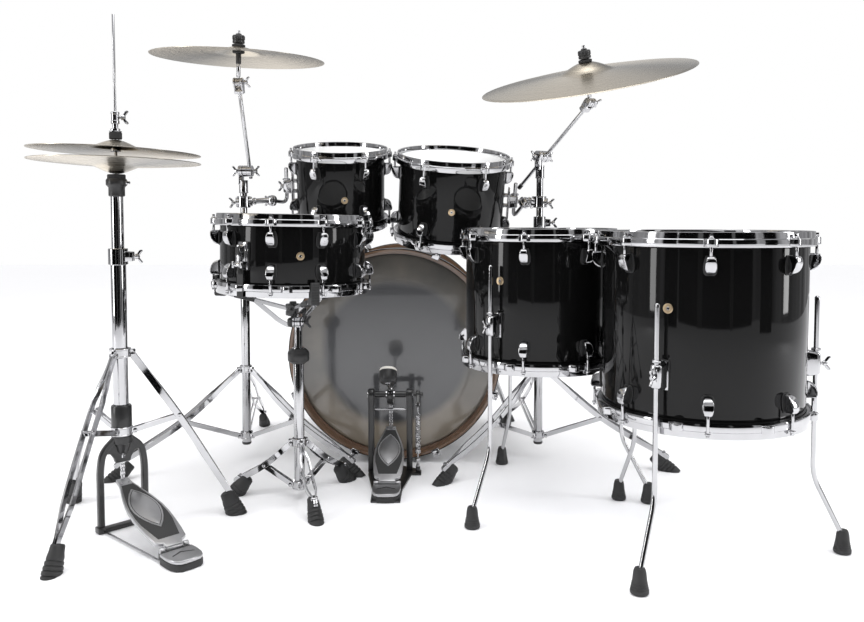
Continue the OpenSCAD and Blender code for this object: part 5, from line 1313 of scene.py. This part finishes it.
def make_hihat():
    place = shift(*HIHAT)
    tube = column(CHROME, 250, 620, 16, 1, 32)
    base = turned([(14.2, 190), (20, 190), (22, 192), (22, 206), (21, 207), (21, 229), (22, 230), (22, 272),
                   (20.5, 275), (14.2, 275)], BLACK_STEEL, 32, loop=True)
    lock, bush = height_lock(16, 622, 0)
    legs = tripod((-100.7, 19.3, 139.3), 18, 392, 218, (122.5, 243), 245)
    heel, hinge, frame_parts = 235, 24, []
    for s in (-1, 1):
        arch = strap([(s * 50, 4), (s * 50, 138), (s * 44, 176), (s * 10, 206)], 14, 13, BLACK_STEEL, 46, 3)
        frame_parts += [set_at(arch, turn("Z", 90)), cylinder(CHROME, (0, s * 48, 5), (256, s * 30, 5), 2.5, 0.4, 12),
                        block(BLACK_STEEL, (230, s * 26 - 5, 0.05), (244, s * 26 + 5, 20), 1),
                        cylinder(CAST, (heel, s * 26 - 5, hinge), (heel, s * 26 + 5, hinge), 6, 0.8, 24),
                        block(BLACK_STEEL, (-11, s * 52 - 8, 0.05), (11, s * 52 + 8, 14), 2.6)]
    frame_parts.append(block(BLACK_STEEL, (-9, -50, 0.05), (9, 50, 10), 2))
    half = [(46, 160), (42, 182), (12, 208), (0, 208)]
    low_half = [(0, 148), (16, 148), (19, 158), (27, 170), (38, 172), (42, 160)]
    fan = cut_plate([(-x, z) for x, z in low_half[:0:-1]] + low_half + mirrored(half, -2), -6, 6,
                    BLACK_STEEL, 2.4, 3)
    cone = [(5.2, 168), (11, 168), (14, 172), (17, 184), (21, 192), (5.2, 192)]
    frame_parts += [set_at(fan, FACING_X), turned(cone, BLACK_STEEL, 32, loop=True),
                    cylinder(CHROME, (heel, -29, hinge), (heel, 29, hinge), 3, 0.6, 16)]
    frame_parts += [set_at(piece, shift(240, 0, 0) @ turn("Z", 90) @ shift(0, 5, 0)) for piece in heel_plate(72)]
    frame_parts = set_at(joined(frame_parts), HIHAT_PEDAL)
    fitted("hihat_stand_base", [tube, base, lock, bush, *legs, frame_parts], place, "stands", "hihat_base")

    rise = 98 - hinge
    slope = shift(heel, 0, hinge) @ turn("Z", 90) @ turn("X", bearing(rise, heel))
    board = [set_at(piece, HIHAT_PEDAL @ slope) for piece in footboard(hypot(heel, rise), 18, 8)]
    fitted("hihat_pedal_footboard", board, place, "hihat_footboard")

    post = column(CHROME, 474, 742, 13, 1, 32)
    seat = turned([(6.2, 735), (15.4, 735), (17, 737), (17, 754), (19, 757), (21.4, 759), (22, 761), (22, 770),
                   (20.4, 773), (14, 774), (6.2, 774)], PLASTIC, 32, loop=True)
    cup = turned([(6.2, 772), (18, 772), (19, 773), (19, 781.4), (17.6, 782.8), (6.2, 782.8)], FELT, 32, loop=True)
    nib = column(CHROME, 780, 790.6, 6, 0.8, 20)
    screw = set_at(key_screw(), shift(20, 0, 765) @ TO_X)
    fitted("hihat_upper_tube", [post, seat, cup, nib, screw], place, "hihat_post")

    rod = turned([(0, 158), (3, 158), (3, 938), (2.9, 938.6), (2.9, 1126.4), (2, 1127.8), (0, 1128)], CHROME, 16)
    coupling = turned([(0, 156), (6, 156), (8, 158), (8, 164), (7, 165), (7, 169), (6, 172), (0, 172)], CHROME, 6)
    links = set_at(chain(110, 157, 9), turn("Z", 45))
    fitted("hihat_pull_rod_and_chain", [rod, coupling, links], place, "hihat_rod")

    z = 858
    sleeve = turned([(3.1, z - 26), (6, z - 26), (6, z + 44), (3.1, z + 44)], CHROME, 24, loop=True)
    nut = turned([(3.1, z - 26), (10, z - 26), (11, z - 25), (11, z - 19), (10, z - 18), (3.1, z - 18)], CHROME, 24,
                 loop=True)
    lower = turned([(6, z - 17.6), (10, z - 17.4), (10.4, z - 15), (10.4, z - 8), (9.4, z - 5.6), (6, z - 4.6)], FELT,
                   24, loop=True)
    upper = turned([(6, z + 0.9), (12, z + 0.9), (13.4, z + 2), (13.4, z + 14.6), (12, z + 16.4), (6, z + 16.6)],
                   FELT, 32, loop=True)
    washer = turned([(6, z + 17), (13, z + 17), (13.2, z + 18.4), (10, z + 18.8), (10, z + 23), (9, z + 24),
                     (6, z + 24)], CHROME, 32, loop=True)
    head = turned([(3.1, z + 34), (8, z + 34), (9, z + 35), (9, z + 40), (8, z + 41), (8, z + 54), (9, z + 55),
                   (9, z + 59), (8, z + 60), (3.1, z + 60)], CHROME, 24, loop=True)
    bolt = set_at(wing_bolt(6), shift(8, 0, z + 48) @ TO_X)
    fitted("hihat_clutch_and_felts", [sleeve, nut, lower, upper, washer, head, bolt], place, "hihat_clutch")


# ---- The whole kit ----

set_camera()
set_floor()
set_lights()

make_bass_drum()
make_toms()
make_floor_toms()
make_snare()
make_snare_stand()
make_kick_pedal()
make_hihat()
make_cymbals()
make_boom_stand("left", (-430, 50), (-146, -26, 94), 180, 822, 22, CRASH_AT, CRASH_LEAN, CRASH_SIZE, "tom_1")
make_boom_stand("right", (410, 54), (-140.2, -20.2, 99.8), 0, 864, 145, RIDE_AT, RIDE_LEAN, RIDE_SIZE, "tom_2")
